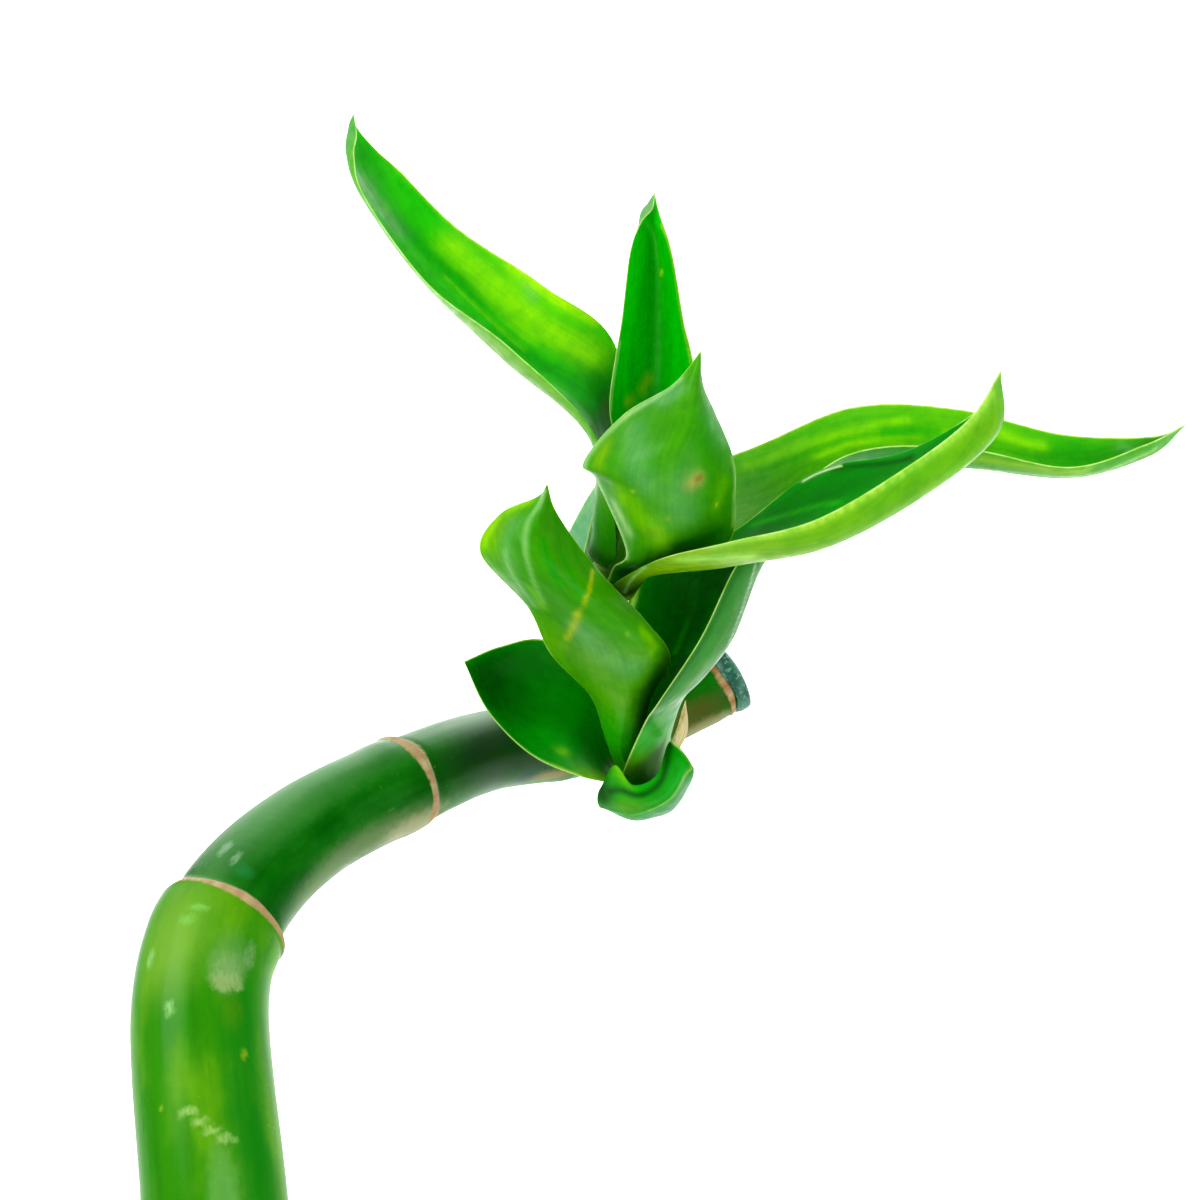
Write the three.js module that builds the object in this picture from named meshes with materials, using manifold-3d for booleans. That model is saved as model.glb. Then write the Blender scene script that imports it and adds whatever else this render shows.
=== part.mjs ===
// Lucky bamboo: one bent cane with a leafy side shoot, standing in a vase among pebbles and water.
// Millimetres, +Z up. The origin is the middle of the vase's foot, on the surface that it stands on.
// The shoot faces -Y, the cane leans back towards +Y and its cut end points to +X.
import * as THREE from 'three';
import Module from 'manifold-3d';
import { mergeVertices } from 'three/addons/utils/BufferGeometryUtils.js';

// ---------------------------------------------------------------- driving dimensions
const GAP = 0.3;                 // what is left between two pieces that touch
const WALL_GAP = 0.45;           // to the vase's wall, whose facets cut in between two corners

// Vase: a plain tapered tumbler
const VASE_HEIGHT = 118;
const VASE_FOOT_RADIUS = 36;
const VASE_RIM_RADIUS = 46;
const VASE_WALL = 3.6;
const VASE_FLOOR = 6;
const VASE_EDGE = 1.8;           // rounding of the lip and of the foot
const VASE_CORNER = 4;           // slope between the floor and the wall, inside
const VASE_SEGMENTS = 48;

// Filling
const PEBBLE_LEVEL = 97;         // lowest point between two pebbles of the top layer
const PEBBLE_RADIUS = 8;
const PEBBLE_RISE = 4;           // how far a pebble stands out of the layer
const PEBBLE_COUNT = 40;
const PEBBLE_TURN = 2.4;         // radians round the middle from one pebble to the next
const PEBBLE_MARGIN = 3.2;       // from the wall to the middle of the outermost pebble
const WATER_DEPTH = 4.5;         // of the clear layer over the pebbles
const BED_RINGS = 10;
const BED_SEGMENTS = 42;

// Cane: its middle line from the foot to the cut end
const CANE_LINE = [
  [0, 0, VASE_FLOOR + GAP], [0, 0, 20], [-2, 1, 54], [-6, 3, 98], [-12, 6, 148], [-18, 11, 198],
  [-21.5, 20, 221], [-26.5, 37, 244.5], [-24, 50.5, 255], [-15, 68.5, 261.5], [1, 87, 265.5],
  [13, 106, 265.5], [28, 126, 262.5], [46, 135, 265], [59.5, 139, 271], [61.5, 139.5, 272],
];
// Joints of the cane: the place on the line, counted in points, and the radius below and above it
const CANE_JOINTS = [
  { place: 0, below: 10.6, above: 10.6 },
  { place: 2, below: 10.7, above: 10.7 },
  { place: 3, below: 10.8, above: 10.8 },
  { place: 4, below: 10.9, above: 10.9 },
  { place: 5, below: 11, above: 11 },
  { place: 7.8, below: 10.4, above: 9.3 },
  { place: 9.9, below: 8.8, above: 8.3 },
  { place: 12, below: 7.8, above: 7.5 },
  { place: 14, below: 6.9, above: 6.8 },
  { place: 15, below: 6.7, above: 6.7 },
];
const RING_HEIGHT = 0.3;         // of the raised ring at a joint
const RING_HALF_WIDTH = 1.1;
const WAIST = 0.25;              // how much an internode narrows at its middle
const CANE_SIDES = 16;
const ROWS_PER_POINT = 4;        // of the mesh, between two points of the line

// Wax on the cut end
const WAX_RADIUS = 7.4;
const WAX_LENGTH = 3;

// The photograph's camera. A place picked by eye on the photograph is written as pixels to the right,
// pixels down and its distance in front of the camera in millimetres, judged from what covers what.
const CAMERA_PLACE = [35, -205, 350];
const CAMERA_TILT = THREE.MathUtils.degToRad(10);   // how far it looks down
const CAMERA_FOCUS = 1664;       // pixels
const PHOTO_MIDDLE = 600;        // pixels, across and down
const PICK_STEP = 0.5;           // a picked point is rounded to this, in millimetres

// Side shoot: its middle line, first inside the cane and then as picked, up to its growing tip
const SHOOT_ROOT = [[39, 127, 266.5], [41.5, 95, 265.5]];
const SHOOT_PICKS = [
  [641, 783, 297], [633, 745, 288], [614, 695, 281], [601, 645, 275], [599, 595, 270],
  [615, 548, 266], [635, 497, 263], [644, 440, 263],
];
const SHOOT_ROOT_RADIUS = 3.4;
const SHOOT_TIP_RADIUS = 2.2;
const SHOOT_SIDES = 12;
const SHOOT_ROWS = 26;

// Leaves: thickness of a blade at its fold and at its margins, and the mesh of one blade
const BLADE_THICK = 0.8;
const MARGIN_THICK = 0.6;
const BLADE_ROWS = 17;
const BLADE_COLUMNS = 6;
const BLADE_END = 0.985;         // where the narrow end of a blade is cut blunt

// Each blade is spanned between its two margins and its fold, as seen on its inner face with the
// tip up. Its sheath hugs the shoot: `root` gives the two places on the shoot's line where the sheath
// starts and opens, the side that it grows on and its half width in degrees round the shoot
// (0 is +X, 90 is +Y), and its distance from the shoot's line. The lines and the tip are picked places.
const LEAVES = [
  {
    name: 'leaf_upper_left', colour: 0x5fb31c,
    root: { start: 0.75, open: 0.81, side: 180, half: 83, radius: 3.8, openRadius: 4.5 },
    left: [
      [596, 437, 257], [511, 350, 261], [430, 286, 267], [364, 198, 273], [355, 158, 278],
      [358, 134, 280.5],
    ],
    fold: [
      [590, 420, 266], [508, 353, 274], [428, 270, 279], [367, 188, 281], [348, 150, 282],
      [350, 128, 283],
    ],
    right: [
      [618, 352, 278], [545, 285, 281], [460, 229, 284], [402, 172, 288], [376, 151, 287.5],
      [359, 129, 285.5],
    ],
    tip: [354.5, 112, 284],
  },
  {
    name: 'leaf_top', colour: 0x1f9a1a,
    root: { start: 0.91, open: 0.97, side: 85, half: 75, radius: 3.2, openRadius: 3.4 },
    left: [[609, 408, 262], [622, 320, 268], [629, 250, 276], [642, 222, 281.5], [653, 210, 284.5]],
    fold: [[648, 405, 272], [653, 320, 278], [654, 247, 284], [645, 214, 285.5], [649, 203, 287]],
    right: [[694, 385, 265], [683, 315, 271], [673, 253, 278], [661, 219, 285], [657, 206, 287]],
    tip: [655, 191, 288.5],
  },
  {
    name: 'leaf_upper_front', colour: 0x4da52a,
    root: { start: 0.725, open: 0.76, side: 322, half: 46, radius: 4.1, openRadius: 4.4 },
    left: [[724, 546, 256], [737, 490, 252], [732, 455, 252], [716, 415, 252], [702, 386, 250]],
    fold: [[668, 556, 253], [672, 505, 245], [672, 465, 242], [685, 430, 243], [690, 393, 247]],
    right: [[626, 550, 257], [596, 482, 252], [584, 462, 250], [622, 415, 250], [674, 385, 250]],
    tip: [701, 351, 248],
  },
  {
    name: 'leaf_right', colour: 0x6cba2c,
    root: { start: 0.685, open: 0.72, side: 345, half: 66, radius: 5, openRadius: 5.5 },
    left: [[665, 556, 270], [730, 533, 268], [815, 473, 266], [905, 453, 262], [975, 412, 252]],
    fold: [[655, 574, 260], [730, 564, 256], [822, 543, 253], [917, 498, 250], [995, 433, 246]],
    right: [[655, 561, 250], [730, 542, 244], [818, 518, 242], [905, 467, 242], [968, 418, 241]],
    tip: [999, 370, 241],
  },
  {
    name: 'leaf_far_right', colour: 0x74c21e,
    root: { start: 0.84, open: 0.9, side: 30, half: 56, radius: 4.1, openRadius: 4.6 },
    left: [[752, 447, 281], [852, 406, 286], [958, 409, 289], [1062, 433, 292], [1150, 436, 293]],
    fold: [[748, 502, 279], [852, 460, 283], [965, 465, 285], [1070, 475, 288], [1148, 456, 291]],
    right: [[742, 531, 271], [848, 455, 273], [960, 448, 275], [1068, 467, 279], [1145, 445, 286]],
    tip: [1188, 423, 295],
  },
  {
    name: 'leaf_back', colour: 0x4f9a5a,
    root: { start: 0.66, open: 0.71, side: 120, half: 50, radius: 3.7, openRadius: 4.1 },
    left: [[598, 486, 282], [571, 529, 303]],
    fold: [[610, 540, 284], [590, 570, 302]],
    right: [[626, 585, 281], [614, 597, 298]],
    tip: [545, 585, 325],
  },
  {
    name: 'leaf_lower_right', colour: 0x2c8f1c,
    root: { start: 0.25, open: 0.31, side: 0, half: 117, radius: 5.4, openRadius: 5.7 },
    left: [[612, 700, 291], [618, 650, 288], [628, 600, 286], [645, 562, 284], [700, 545, 285]],
    fold: [[678, 696, 284], [705, 662, 282], [728, 632, 281], [748, 575, 281], [768, 545, 285]],
    right: [[642, 727, 270], [660, 700, 266], [700, 639, 265], [735, 569, 267], [756, 548, 277]],
    tip: [785, 515, 287],
  },
  {
    name: 'leaf_front', colour: 0x4aa428,
    root: { start: 0.3, open: 0.37, side: 250, half: 60, radius: 3.8, openRadius: 4 },
    left: [[650, 700, 278], [671, 658, 272], [645, 620, 265], [598, 570, 258], [557, 514, 256]],
    fold: [[625, 702, 271], [612, 655, 262], [592, 618, 255], [545, 565, 250], [538, 525, 252]],
    right: [
      [590, 697, 277], [552, 653, 270], [527, 606, 264], [480, 552, 257], [500, 516, 256],
      [537, 496, 254],
    ],
    tip: [548, 483, 253],
  },
  {
    name: 'leaf_lower_left', colour: 0x158a12,
    root: { start: 0.235, open: 0.28, side: 180, half: 49, radius: 5, openRadius: 5.2 },
    left: [[578, 775, 279], [530, 756, 277], [488, 713, 277]],
    fold: [[575, 730, 290], [525, 705, 289], [488, 684, 287]],
    right: [[600, 668, 292], [545, 641, 289], [500, 645, 286]],
    tip: [463, 660, 281],
  },
  {
    name: 'base_sheath', colour: 0x3f9f22,
    left: [[618, 806, 296], [645, 817, 293], [673, 810, 290], [689, 785, 288]],
    fold: [[600, 804, 288], [632, 813, 284], [668, 797, 281], [687, 768, 281]],
    right: [[600, 788, 285.5], [616, 764, 280], [634, 786, 279], [657, 775, 278], [670, 740, 282]],
    tip: [694, 767, 284],
  },
  {
    name: 'dry_scale', colour: 0xb8946a,
    root: { start: 0.1, open: 0.13, side: 0, half: 30, radius: 4.1, openRadius: 4.3 },
    left: [[686, 735, 309]],
    fold: [[680, 731, 305]],
    right: [[676, 733, 304]],
    tip: [685, 701, 311],
  },
];

// ---------------------------------------------------------------- curves and closed meshes
const vector = ([x, y, z]) => new THREE.Vector3(x, y, z);
const smoothstep = (x) => x * x * (3 - 2 * x);

// A smooth line through its points; the same parameter step leads from each point to the next.
function lineThrough(points) {
  return new THREE.CatmullRomCurve3(points.map(vector), false, 'catmullrom', 0.5);
}

function meshGeometry(positions, indices) {
  const geometry = new THREE.BufferGeometry();
  geometry.setAttribute('position', new THREE.Float32BufferAttribute(positions, 3));
  geometry.setIndex(indices);
  return geometry;
}

// A closed body of rings round a line. Each row has its place on the line and its radius; the two
// ends are closed by a fan.
function ringBody(line, rows, sides) {
  const positions = [];
  const indices = [];
  const across = new THREE.Vector3(1, 0, 0);
  for (const { place, radius } of rows) {
    const centre = line.getPoint(place);
    const along = line.getTangent(place);
    across.addScaledVector(along, -across.dot(along)).normalize();
    const third = along.clone().cross(across);
    for (let side = 0; side < sides; side += 1) {
      const angle = (side / sides) * 2 * Math.PI;
      const point = centre.clone()
        .addScaledVector(across, radius * Math.cos(angle))
        .addScaledVector(third, radius * Math.sin(angle));
      positions.push(point.x, point.y, point.z);
    }
  }
  for (let row = 0; row + 1 < rows.length; row += 1) {
    for (let side = 0; side < sides; side += 1) {
      const a = row * sides + side;
      const b = row * sides + ((side + 1) % sides);
      indices.push(a, b, b + sides, a, b + sides, a + sides);
    }
  }
  const first = line.getPoint(rows[0].place);
  const last = line.getPoint(rows[rows.length - 1].place);
  const firstIndex = rows.length * sides;
  positions.push(first.x, first.y, first.z, last.x, last.y, last.z);
  const top = (rows.length - 1) * sides;
  for (let side = 0; side < sides; side += 1) {
    const next = (side + 1) % sides;
    indices.push(firstIndex, next, side);
    indices.push(firstIndex + 1, top + side, top + next);
  }
  return meshGeometry(positions, indices);
}

// A thin closed body on a grid of points: half the thickness lies on each side of the grid, both
// faces are split into triangles alike, and a strip closes the rim.
function thinBody(grid, thickness) {
  const rows = grid.length;
  const columns = grid[0].length;
  const positions = [];
  const indices = [];
  const clampRow = (row) => Math.min(Math.max(row, 0), rows - 1);
  const clampColumn = (column) => Math.min(Math.max(column, 0), columns - 1);
  const faces = [0.5, -0.5];
  for (const face of faces) {
    for (let row = 0; row < rows; row += 1) {
      for (let column = 0; column < columns; column += 1) {
        const along = grid[clampRow(row + 1)][column].clone();
        const across = grid[row][clampColumn(column + 1)].clone();
        along.sub(grid[clampRow(row - 1)][column]);
        across.sub(grid[row][clampColumn(column - 1)]);
        const normal = across.cross(along).normalize();
        const offset = face * thickness(column / (columns - 1));
        const point = grid[row][column].clone().addScaledVector(normal, offset);
        positions.push(point.x, point.y, point.z);
      }
    }
  }
  const outer = rows * columns;
  const at = (row, column) => row * columns + column;
  for (let row = 0; row + 1 < rows; row += 1) {
    for (let column = 0; column + 1 < columns; column += 1) {
      const a = at(row, column);
      const b = at(row + 1, column);
      const c = at(row + 1, column + 1);
      const d = at(row, column + 1);
      indices.push(a, d, c, a, c, b);
      indices.push(outer + a, outer + b, outer + c, outer + a, outer + c, outer + d);
    }
  }
  const rim = [];
  for (let column = 0; column + 1 < columns; column += 1) rim.push(at(0, column));
  for (let row = 0; row + 1 < rows; row += 1) rim.push(at(row, columns - 1));
  for (let column = columns - 1; column > 0; column -= 1) rim.push(at(rows - 1, column));
  for (let row = rows - 1; row > 0; row -= 1) rim.push(at(row, 0));
  for (let step = 0; step < rim.length; step += 1) {
    const a = rim[step];
    const b = rim[(step + 1) % rim.length];
    indices.push(a, outer + a, outer + b, a, outer + b, b);
  }
  return meshGeometry(positions, indices);
}

// ---------------------------------------------------------------- cut and join
const solids = await Module();
solids.setup();

function toSolid(geometry) {
  const bare = geometry.clone();
  bare.deleteAttribute('normal');
  bare.deleteAttribute('uv');
  const merged = mergeVertices(bare, 1e-4);
  return new solids.Manifold(new solids.Mesh({
    numProp: 3,
    vertProperties: new Float32Array(merged.attributes.position.array),
    triVerts: new Uint32Array(merged.index.array),
  }));
}

function toGeometry(solid) {
  const mesh = solid.getMesh();
  return meshGeometry(Array.from(mesh.vertProperties), Array.from(mesh.triVerts));
}

const without = (body, cutter) => toGeometry(toSolid(body).subtract(toSolid(cutter)));

// ---------------------------------------------------------------- cane, wax and shoot
const caneLine = lineThrough(CANE_LINE);

// The rows of the cane. Between two joints the radius goes evenly from one to the next with a slight
// waist; at each joint it steps under a raised ring.
function caneRows(extra = 0) {
  const rows = [];
  const last = CANE_LINE.length - 1;
  const place = (points) => points / last;
  const pointAt = (points) => caneLine.getPoint(place(points));
  for (let index = 0; index + 1 < CANE_JOINTS.length; index += 1) {
    const from = CANE_JOINTS[index];
    const to = CANE_JOINTS[index + 1];
    const span = to.place - from.place;
    const length = pointAt(from.place).distanceTo(pointAt(to.place));
    const ring = (RING_HALF_WIDTH / length) * span;
    const steps = Math.max(2, Math.round(ROWS_PER_POINT * span));
    const raised = index > 0 ? RING_HEIGHT : 0;
    rows.push({ place: place(from.place), radius: Math.max(from.below, from.above) + raised });
    for (let step = 0; step <= steps && length > 4 * RING_HALF_WIDTH; step += 1) {
      const share = step / steps;
      const radius = from.above + (to.below - from.above) * share - WAIST * Math.sin(Math.PI * share);
      rows.push({ place: place(from.place + ring + (span - 2 * ring) * share), radius });
    }
  }
  rows.push({ place: 1, radius: CANE_JOINTS[CANE_JOINTS.length - 1].above });
  return rows.map((row) => ({ place: row.place, radius: row.radius + extra }));
}

const cane = ringBody(caneLine, caneRows(), CANE_SIDES);

// The room that the cane needs in what it stands in; it reaches below the cane's foot.
const roomLine = lineThrough([[0, 0, VASE_FLOOR - VASE_EDGE], ...CANE_LINE.slice(1)]);
const caneRoom = ringBody(roomLine, caneRows(GAP), CANE_SIDES);

// The wax is a short cap over the cut end, rounded at its edge and slightly domed.
function waxCap() {
  const end = caneLine.getPoint(1);
  const along = caneLine.getTangent(1);
  const start = end.clone().addScaledVector(along, GAP);
  const finish = start.clone().addScaledVector(along, WAX_LENGTH);
  const line = new THREE.LineCurve3(start, finish);
  const profile = [
    [0, 0.93], [0.14, 1], [0.45, 1], [0.66, 0.95], [0.82, 0.82], [0.93, 0.58], [1, 0.22],
  ];
  const rows = profile.map(([place, share]) => ({ place, radius: share * WAX_RADIUS }));
  return ringBody(line, rows, CANE_SIDES);
}

// A picked place as a point in millimetres.
function picked([right, down, distance]) {
  const aside = ((right - PHOTO_MIDDLE) * distance) / CAMERA_FOCUS;
  const above = ((PHOTO_MIDDLE - down) * distance) / CAMERA_FOCUS;
  const point = [
    CAMERA_PLACE[0] + aside,
    CAMERA_PLACE[1] + above * Math.sin(CAMERA_TILT) + distance * Math.cos(CAMERA_TILT),
    CAMERA_PLACE[2] + above * Math.cos(CAMERA_TILT) - distance * Math.sin(CAMERA_TILT),
  ];
  return point.map((size) => Math.round(size / PICK_STEP) * PICK_STEP);
}

const shootLine = lineThrough([...SHOOT_ROOT, ...SHOOT_PICKS.map(picked)]);

function shootStem() {
  const rows = [];
  for (let row = 0; row <= SHOOT_ROWS; row += 1) {
    const place = row / SHOOT_ROWS;
    rows.push({ place, radius: SHOOT_ROOT_RADIUS + (SHOOT_TIP_RADIUS - SHOOT_ROOT_RADIUS) * place });
  }
  return without(ringBody(shootLine, rows, SHOOT_SIDES), caneRoom);
}

// ---------------------------------------------------------------- leaves
// A point at an angle round the shoot, square to its line; 0 is +X and 90 is +Y.
function roundShoot(place, degrees, radius) {
  const along = shootLine.getTangent(place);
  const angle = THREE.MathUtils.degToRad(degrees);
  const out = new THREE.Vector3(Math.cos(angle), Math.sin(angle), 0);
  out.addScaledVector(along, -out.dot(along)).normalize();
  return shootLine.getPoint(place).addScaledVector(out, radius);
}

// The arch through a left, a middle and a right point, for a share from 0 to 1 across.
function arch(left, middle, right, share) {
  return left.clone().multiplyScalar((2 * share - 1) * (share - 1))
    .addScaledVector(middle, 4 * share * (1 - share))
    .addScaledVector(right, share * (2 * share - 1));
}

// The blade's grid: arches between the three lines, pulled into an arc round the shoot at the root.
function bladeGrid({ root, left, fold, right, tip }) {
  const lines = [left, fold, right].map((points) => [...points, tip].map(picked).map(vector));
  if (root) {
    [1, 0, -1].forEach((turn, index) => {
      const degrees = root.side + turn * root.half;
      lines[index].unshift(
        roundShoot(root.start, degrees, root.radius),
        roundShoot(root.open, degrees, root.openRadius),
      );
    });
  }
  const curves = lines.map((points) => new THREE.CatmullRomCurve3(points, false, 'catmullrom', 0.5));
  const sheathEnd = 3 / (lines[0].length - 1);
  const grid = [];
  for (let row = 0; row <= BLADE_ROWS; row += 1) {
    const along = (row / BLADE_ROWS) * BLADE_END;
    const [a, b, c] = curves.map((curve) => curve.getPoint(along));
    const hold = root ? smoothstep(Math.max(0, 1 - along / sheathEnd)) : 0;
    const points = [];
    for (let column = 0; column <= BLADE_COLUMNS; column += 1) {
      const share = column / BLADE_COLUMNS;
      const point = arch(a, b, c, share);
      if (hold > 0) {
        const degrees = root.side + (1 - 2 * share) * root.half;
        const round = roundShoot(root.start, degrees, root.radius);
        point.addScaledVector(round.sub(arch(lines[0][0], lines[1][0], lines[2][0], share)), hold);
      }
      points.push(point);
    }
    grid.push(points);
  }
  return grid;
}

const bladeThickness = (share) => MARGIN_THICK + (BLADE_THICK - MARGIN_THICK) * 4 * share * (1 - share);

// ---------------------------------------------------------------- vase and filling
const vaseOuter = (z) => VASE_FOOT_RADIUS + ((VASE_RIM_RADIUS - VASE_FOOT_RADIUS) * z) / VASE_HEIGHT;
const vaseInner = (z) => vaseOuter(z) - VASE_WALL;

function lathe(profile, segments) {
  const points = profile.map(([radius, z]) => new THREE.Vector2(radius, z));
  return new THREE.LatheGeometry(points, segments).rotateX(Math.PI / 2);
}

function vaseBody() {
  const rise = VASE_HEIGHT - VASE_EDGE;
  const middle = vaseOuter(rise) - VASE_WALL / 2;
  const profile = [[0, 0], [vaseOuter(0) - VASE_EDGE, 0]];
  for (const degrees of [-45, 0]) {
    const angle = THREE.MathUtils.degToRad(degrees);
    const radius = vaseOuter(VASE_EDGE) - VASE_EDGE * (1 - Math.cos(angle));
    profile.push([radius, VASE_EDGE + VASE_EDGE * Math.sin(angle)]);
  }
  for (const degrees of [0, 36, 72, 108, 144, 180]) {
    const angle = THREE.MathUtils.degToRad(degrees);
    profile.push([middle + (VASE_WALL / 2) * Math.cos(angle), rise + VASE_EDGE * Math.sin(angle)]);
  }
  const corner = VASE_FLOOR + VASE_CORNER;
  profile.push([vaseInner(corner), corner], [vaseInner(VASE_FLOOR) - VASE_CORNER, VASE_FLOOR]);
  profile.push([0, VASE_FLOOR]);
  return lathe(profile, VASE_SEGMENTS);
}

// Height of the pebbles' top at a point: rounded caps set out on a sunflower spiral, the highest wins.
function pebbleTop(x, y) {
  const reach = vaseInner(PEBBLE_LEVEL) - PEBBLE_MARGIN;
  let height = PEBBLE_LEVEL;
  for (let index = 0; index < PEBBLE_COUNT; index += 1) {
    const angle = index * PEBBLE_TURN;
    const away = reach * Math.sqrt((index + 0.5) / PEBBLE_COUNT);
    const distance = Math.hypot(x - away * Math.cos(angle), y - away * Math.sin(angle));
    const share = Math.min(distance / PEBBLE_RADIUS, 1);
    height = Math.max(height, PEBBLE_LEVEL + PEBBLE_RISE * Math.sqrt(1 - share * share));
  }
  return height;
}

// The bed is one body: a flat foot on the vase's floor, a side along its wall and the pebbles on top.
function pebbleBed() {
  const foot = VASE_FLOOR + GAP;
  const corner = VASE_FLOOR + VASE_CORNER;
  const edge = vaseInner(PEBBLE_LEVEL) - WALL_GAP;
  const profile = [
    [vaseInner(VASE_FLOOR) - VASE_CORNER - 2 * GAP, foot],
    [vaseInner(corner) - WALL_GAP, corner + WALL_GAP],
    [edge, PEBBLE_LEVEL - 1],
  ];
  const positions = [0, 0, foot];
  const indices = [];
  const ring = (radius, height) => {
    for (let segment = 0; segment < BED_SEGMENTS; segment += 1) {
      const angle = (segment / BED_SEGMENTS) * 2 * Math.PI;
      const x = radius * Math.cos(angle);
      const y = radius * Math.sin(angle);
      positions.push(x, y, height(x, y));
    }
  };
  for (const [radius, z] of profile) ring(radius, () => z);
  for (let row = BED_RINGS; row > 0; row -= 1) ring((edge * row) / BED_RINGS, pebbleTop);
  const rings = profile.length + BED_RINGS;
  const middle = positions.length / 3;
  positions.push(0, 0, pebbleTop(0, 0));
  for (let segment = 0; segment < BED_SEGMENTS; segment += 1) {
    const next = (segment + 1) % BED_SEGMENTS;
    indices.push(0, 1 + next, 1 + segment);
    for (let row = 0; row + 1 < rings; row += 1) {
      const a = 1 + row * BED_SEGMENTS + segment;
      const b = 1 + row * BED_SEGMENTS + next;
      indices.push(a, b, b + BED_SEGMENTS, a, b + BED_SEGMENTS, a + BED_SEGMENTS);
    }
    const top = 1 + (rings - 1) * BED_SEGMENTS;
    indices.push(middle, top + segment, top + next);
  }
  return without(meshGeometry(positions, indices), caneRoom);
}

// The clear water over the pebbles is a plain disc with the cane's hole in it.
function waterLayer() {
  const low = PEBBLE_LEVEL + PEBBLE_RISE + GAP;
  const high = low + WATER_DEPTH;
  const side = [[vaseInner(low) - WALL_GAP, low], [vaseInner(high) - WALL_GAP, high]];
  const disc = lathe([[0, low], ...side, [0, high]], BED_SEGMENTS);
  return without(disc, caneRoom);
}

// ---------------------------------------------------------------- the scene graph
const group = new THREE.Group();

function add(name, geometry, colour, roughness) {
  const material = new THREE.MeshStandardMaterial({ color: colour, roughness, metalness: 0 });
  const mesh = new THREE.Mesh(geometry, material);
  mesh.name = name;
  group.add(mesh);
}

add('vase', vaseBody(), 0xf1eee6, 0.2);
add('pebbles', pebbleBed(), 0xb9ae9c, 0.6);
add('water', waterLayer(), 0xdfeef0, 0.05);
add('stalk', cane, 0x3f8f1e, 0.35);
add('wax_seal', waxCap(), 0x4f8f8c, 0.4);
add('shoot_stem', shootStem(), 0x6fae3a, 0.45);
for (const leaf of LEAVES) add(leaf.name, thinBody(bladeGrid(leaf), bladeThickness), leaf.colour, 0.35);

export default group;
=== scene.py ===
# %% [markdown]
# # Lucky bamboo in a vase
# One bent cane with a leafy side shoot stands in a tapered vase, among pebbles and water.
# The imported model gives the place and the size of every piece. This lesson makes each of them again
# as a fine surface, worked out with numpy, and gives it a finish made of shader nodes.
# All drawings are in millimetres, with +Z up and the middle of the vase's foot as the origin.

# %% Load the frame
import math

import bpy
import numpy as np
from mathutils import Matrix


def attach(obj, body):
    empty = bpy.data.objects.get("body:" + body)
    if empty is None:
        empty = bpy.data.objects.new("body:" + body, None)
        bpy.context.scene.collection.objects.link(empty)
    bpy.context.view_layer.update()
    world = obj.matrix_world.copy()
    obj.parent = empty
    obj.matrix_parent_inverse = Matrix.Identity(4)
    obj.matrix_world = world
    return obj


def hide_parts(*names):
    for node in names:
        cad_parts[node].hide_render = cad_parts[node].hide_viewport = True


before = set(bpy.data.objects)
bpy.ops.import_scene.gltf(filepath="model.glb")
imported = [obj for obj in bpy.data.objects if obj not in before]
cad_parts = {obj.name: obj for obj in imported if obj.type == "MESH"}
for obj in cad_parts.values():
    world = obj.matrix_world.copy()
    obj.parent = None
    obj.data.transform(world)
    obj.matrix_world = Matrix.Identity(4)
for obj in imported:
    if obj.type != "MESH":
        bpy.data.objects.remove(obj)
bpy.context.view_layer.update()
MM = 0.001
print("nodes of the packed model:", len(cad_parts))

# %% [markdown]
# ## The camera
# The plant is seen from the front, a little from above, with a normal lens. The vase stays below the
# edge of the picture. The lens is worked out from the picture's width on a 36 mm wide film.

# %% Camera
PICTURE_WIDTH = 1200
FOCAL_PIXELS = 1664
FILM_WIDTH = 36
CAMERA_PLACE = (35, -205, 350)
CAMERA_DOWN = 10
scene = bpy.context.scene


def placed(name, data):
    """A new object of the scene that holds a lens, a lamp or a mesh."""
    made = bpy.data.objects.new(name, data)
    scene.collection.objects.link(made)
    return made


lens = bpy.data.cameras.new("camera")
lens.sensor_width = FILM_WIDTH
lens.lens = FILM_WIDTH * FOCAL_PIXELS / PICTURE_WIDTH
lens.clip_start = 0.01
camera = placed("camera", lens)
camera.location = [value * MM for value in CAMERA_PLACE]
camera.rotation_euler = (math.radians(90 - CAMERA_DOWN), 0, 0)
scene.camera = camera
print("lens", round(lens.lens, 2), "mm")

# %% [markdown]
# ## Surfaces on a grid
# Every piece here is a sheet of rows and columns. The columns go round the piece and meet again, so a
# grid is like a stocking: a pipe needs its two ends closed with a fan of triangles, and a flat blade
# needs them closed like a zip, from one face to the other. The same helper makes both kinds.

# %% Faces of a grid
def grid_faces(rows, columns, start, ends):
    """Faces of one grid: a quad between each four neighbours, the last column joined to the first.
    ends is "fan", which adds one point in the middle of each end row, or "zip", which joins column k
    of an end row to its mirror column, counted back from the first."""
    row = np.arange(rows - 1)[:, None] * columns
    here = np.arange(columns)[None, :]
    after = (here + 1) % columns
    quads = np.stack([row + here, row + after, row + columns + after, row + columns + here], -1)
    faces = (quads.reshape(-1, 4) + start).tolist()
    last = (rows - 1) * columns
    if ends == "fan":
        low = np.stack([0 * here + rows * columns, after, here], -1)
        high = np.stack([0 * here + rows * columns + 1, last + here, last + after], -1)
        return faces + (np.concatenate([low, high], 1).reshape(-1, 3) + start).tolist()
    step = np.arange(columns // 2)
    mirror = (columns - step) % columns
    strip = np.stack([step, (mirror - 1) % columns, mirror, step + 1], -1)
    close = []
    for first, turned in ((0, False), (last, True)):
        for a, b, c, d in (strip + first + start).tolist():
            face = [a, d, b, c] if turned else [a, c, b, d]
            kept = [corner for index, corner in enumerate(face) if corner not in face[:index]]
            if len(kept) > 2:
                close.append(kept)
    return faces + close


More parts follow.
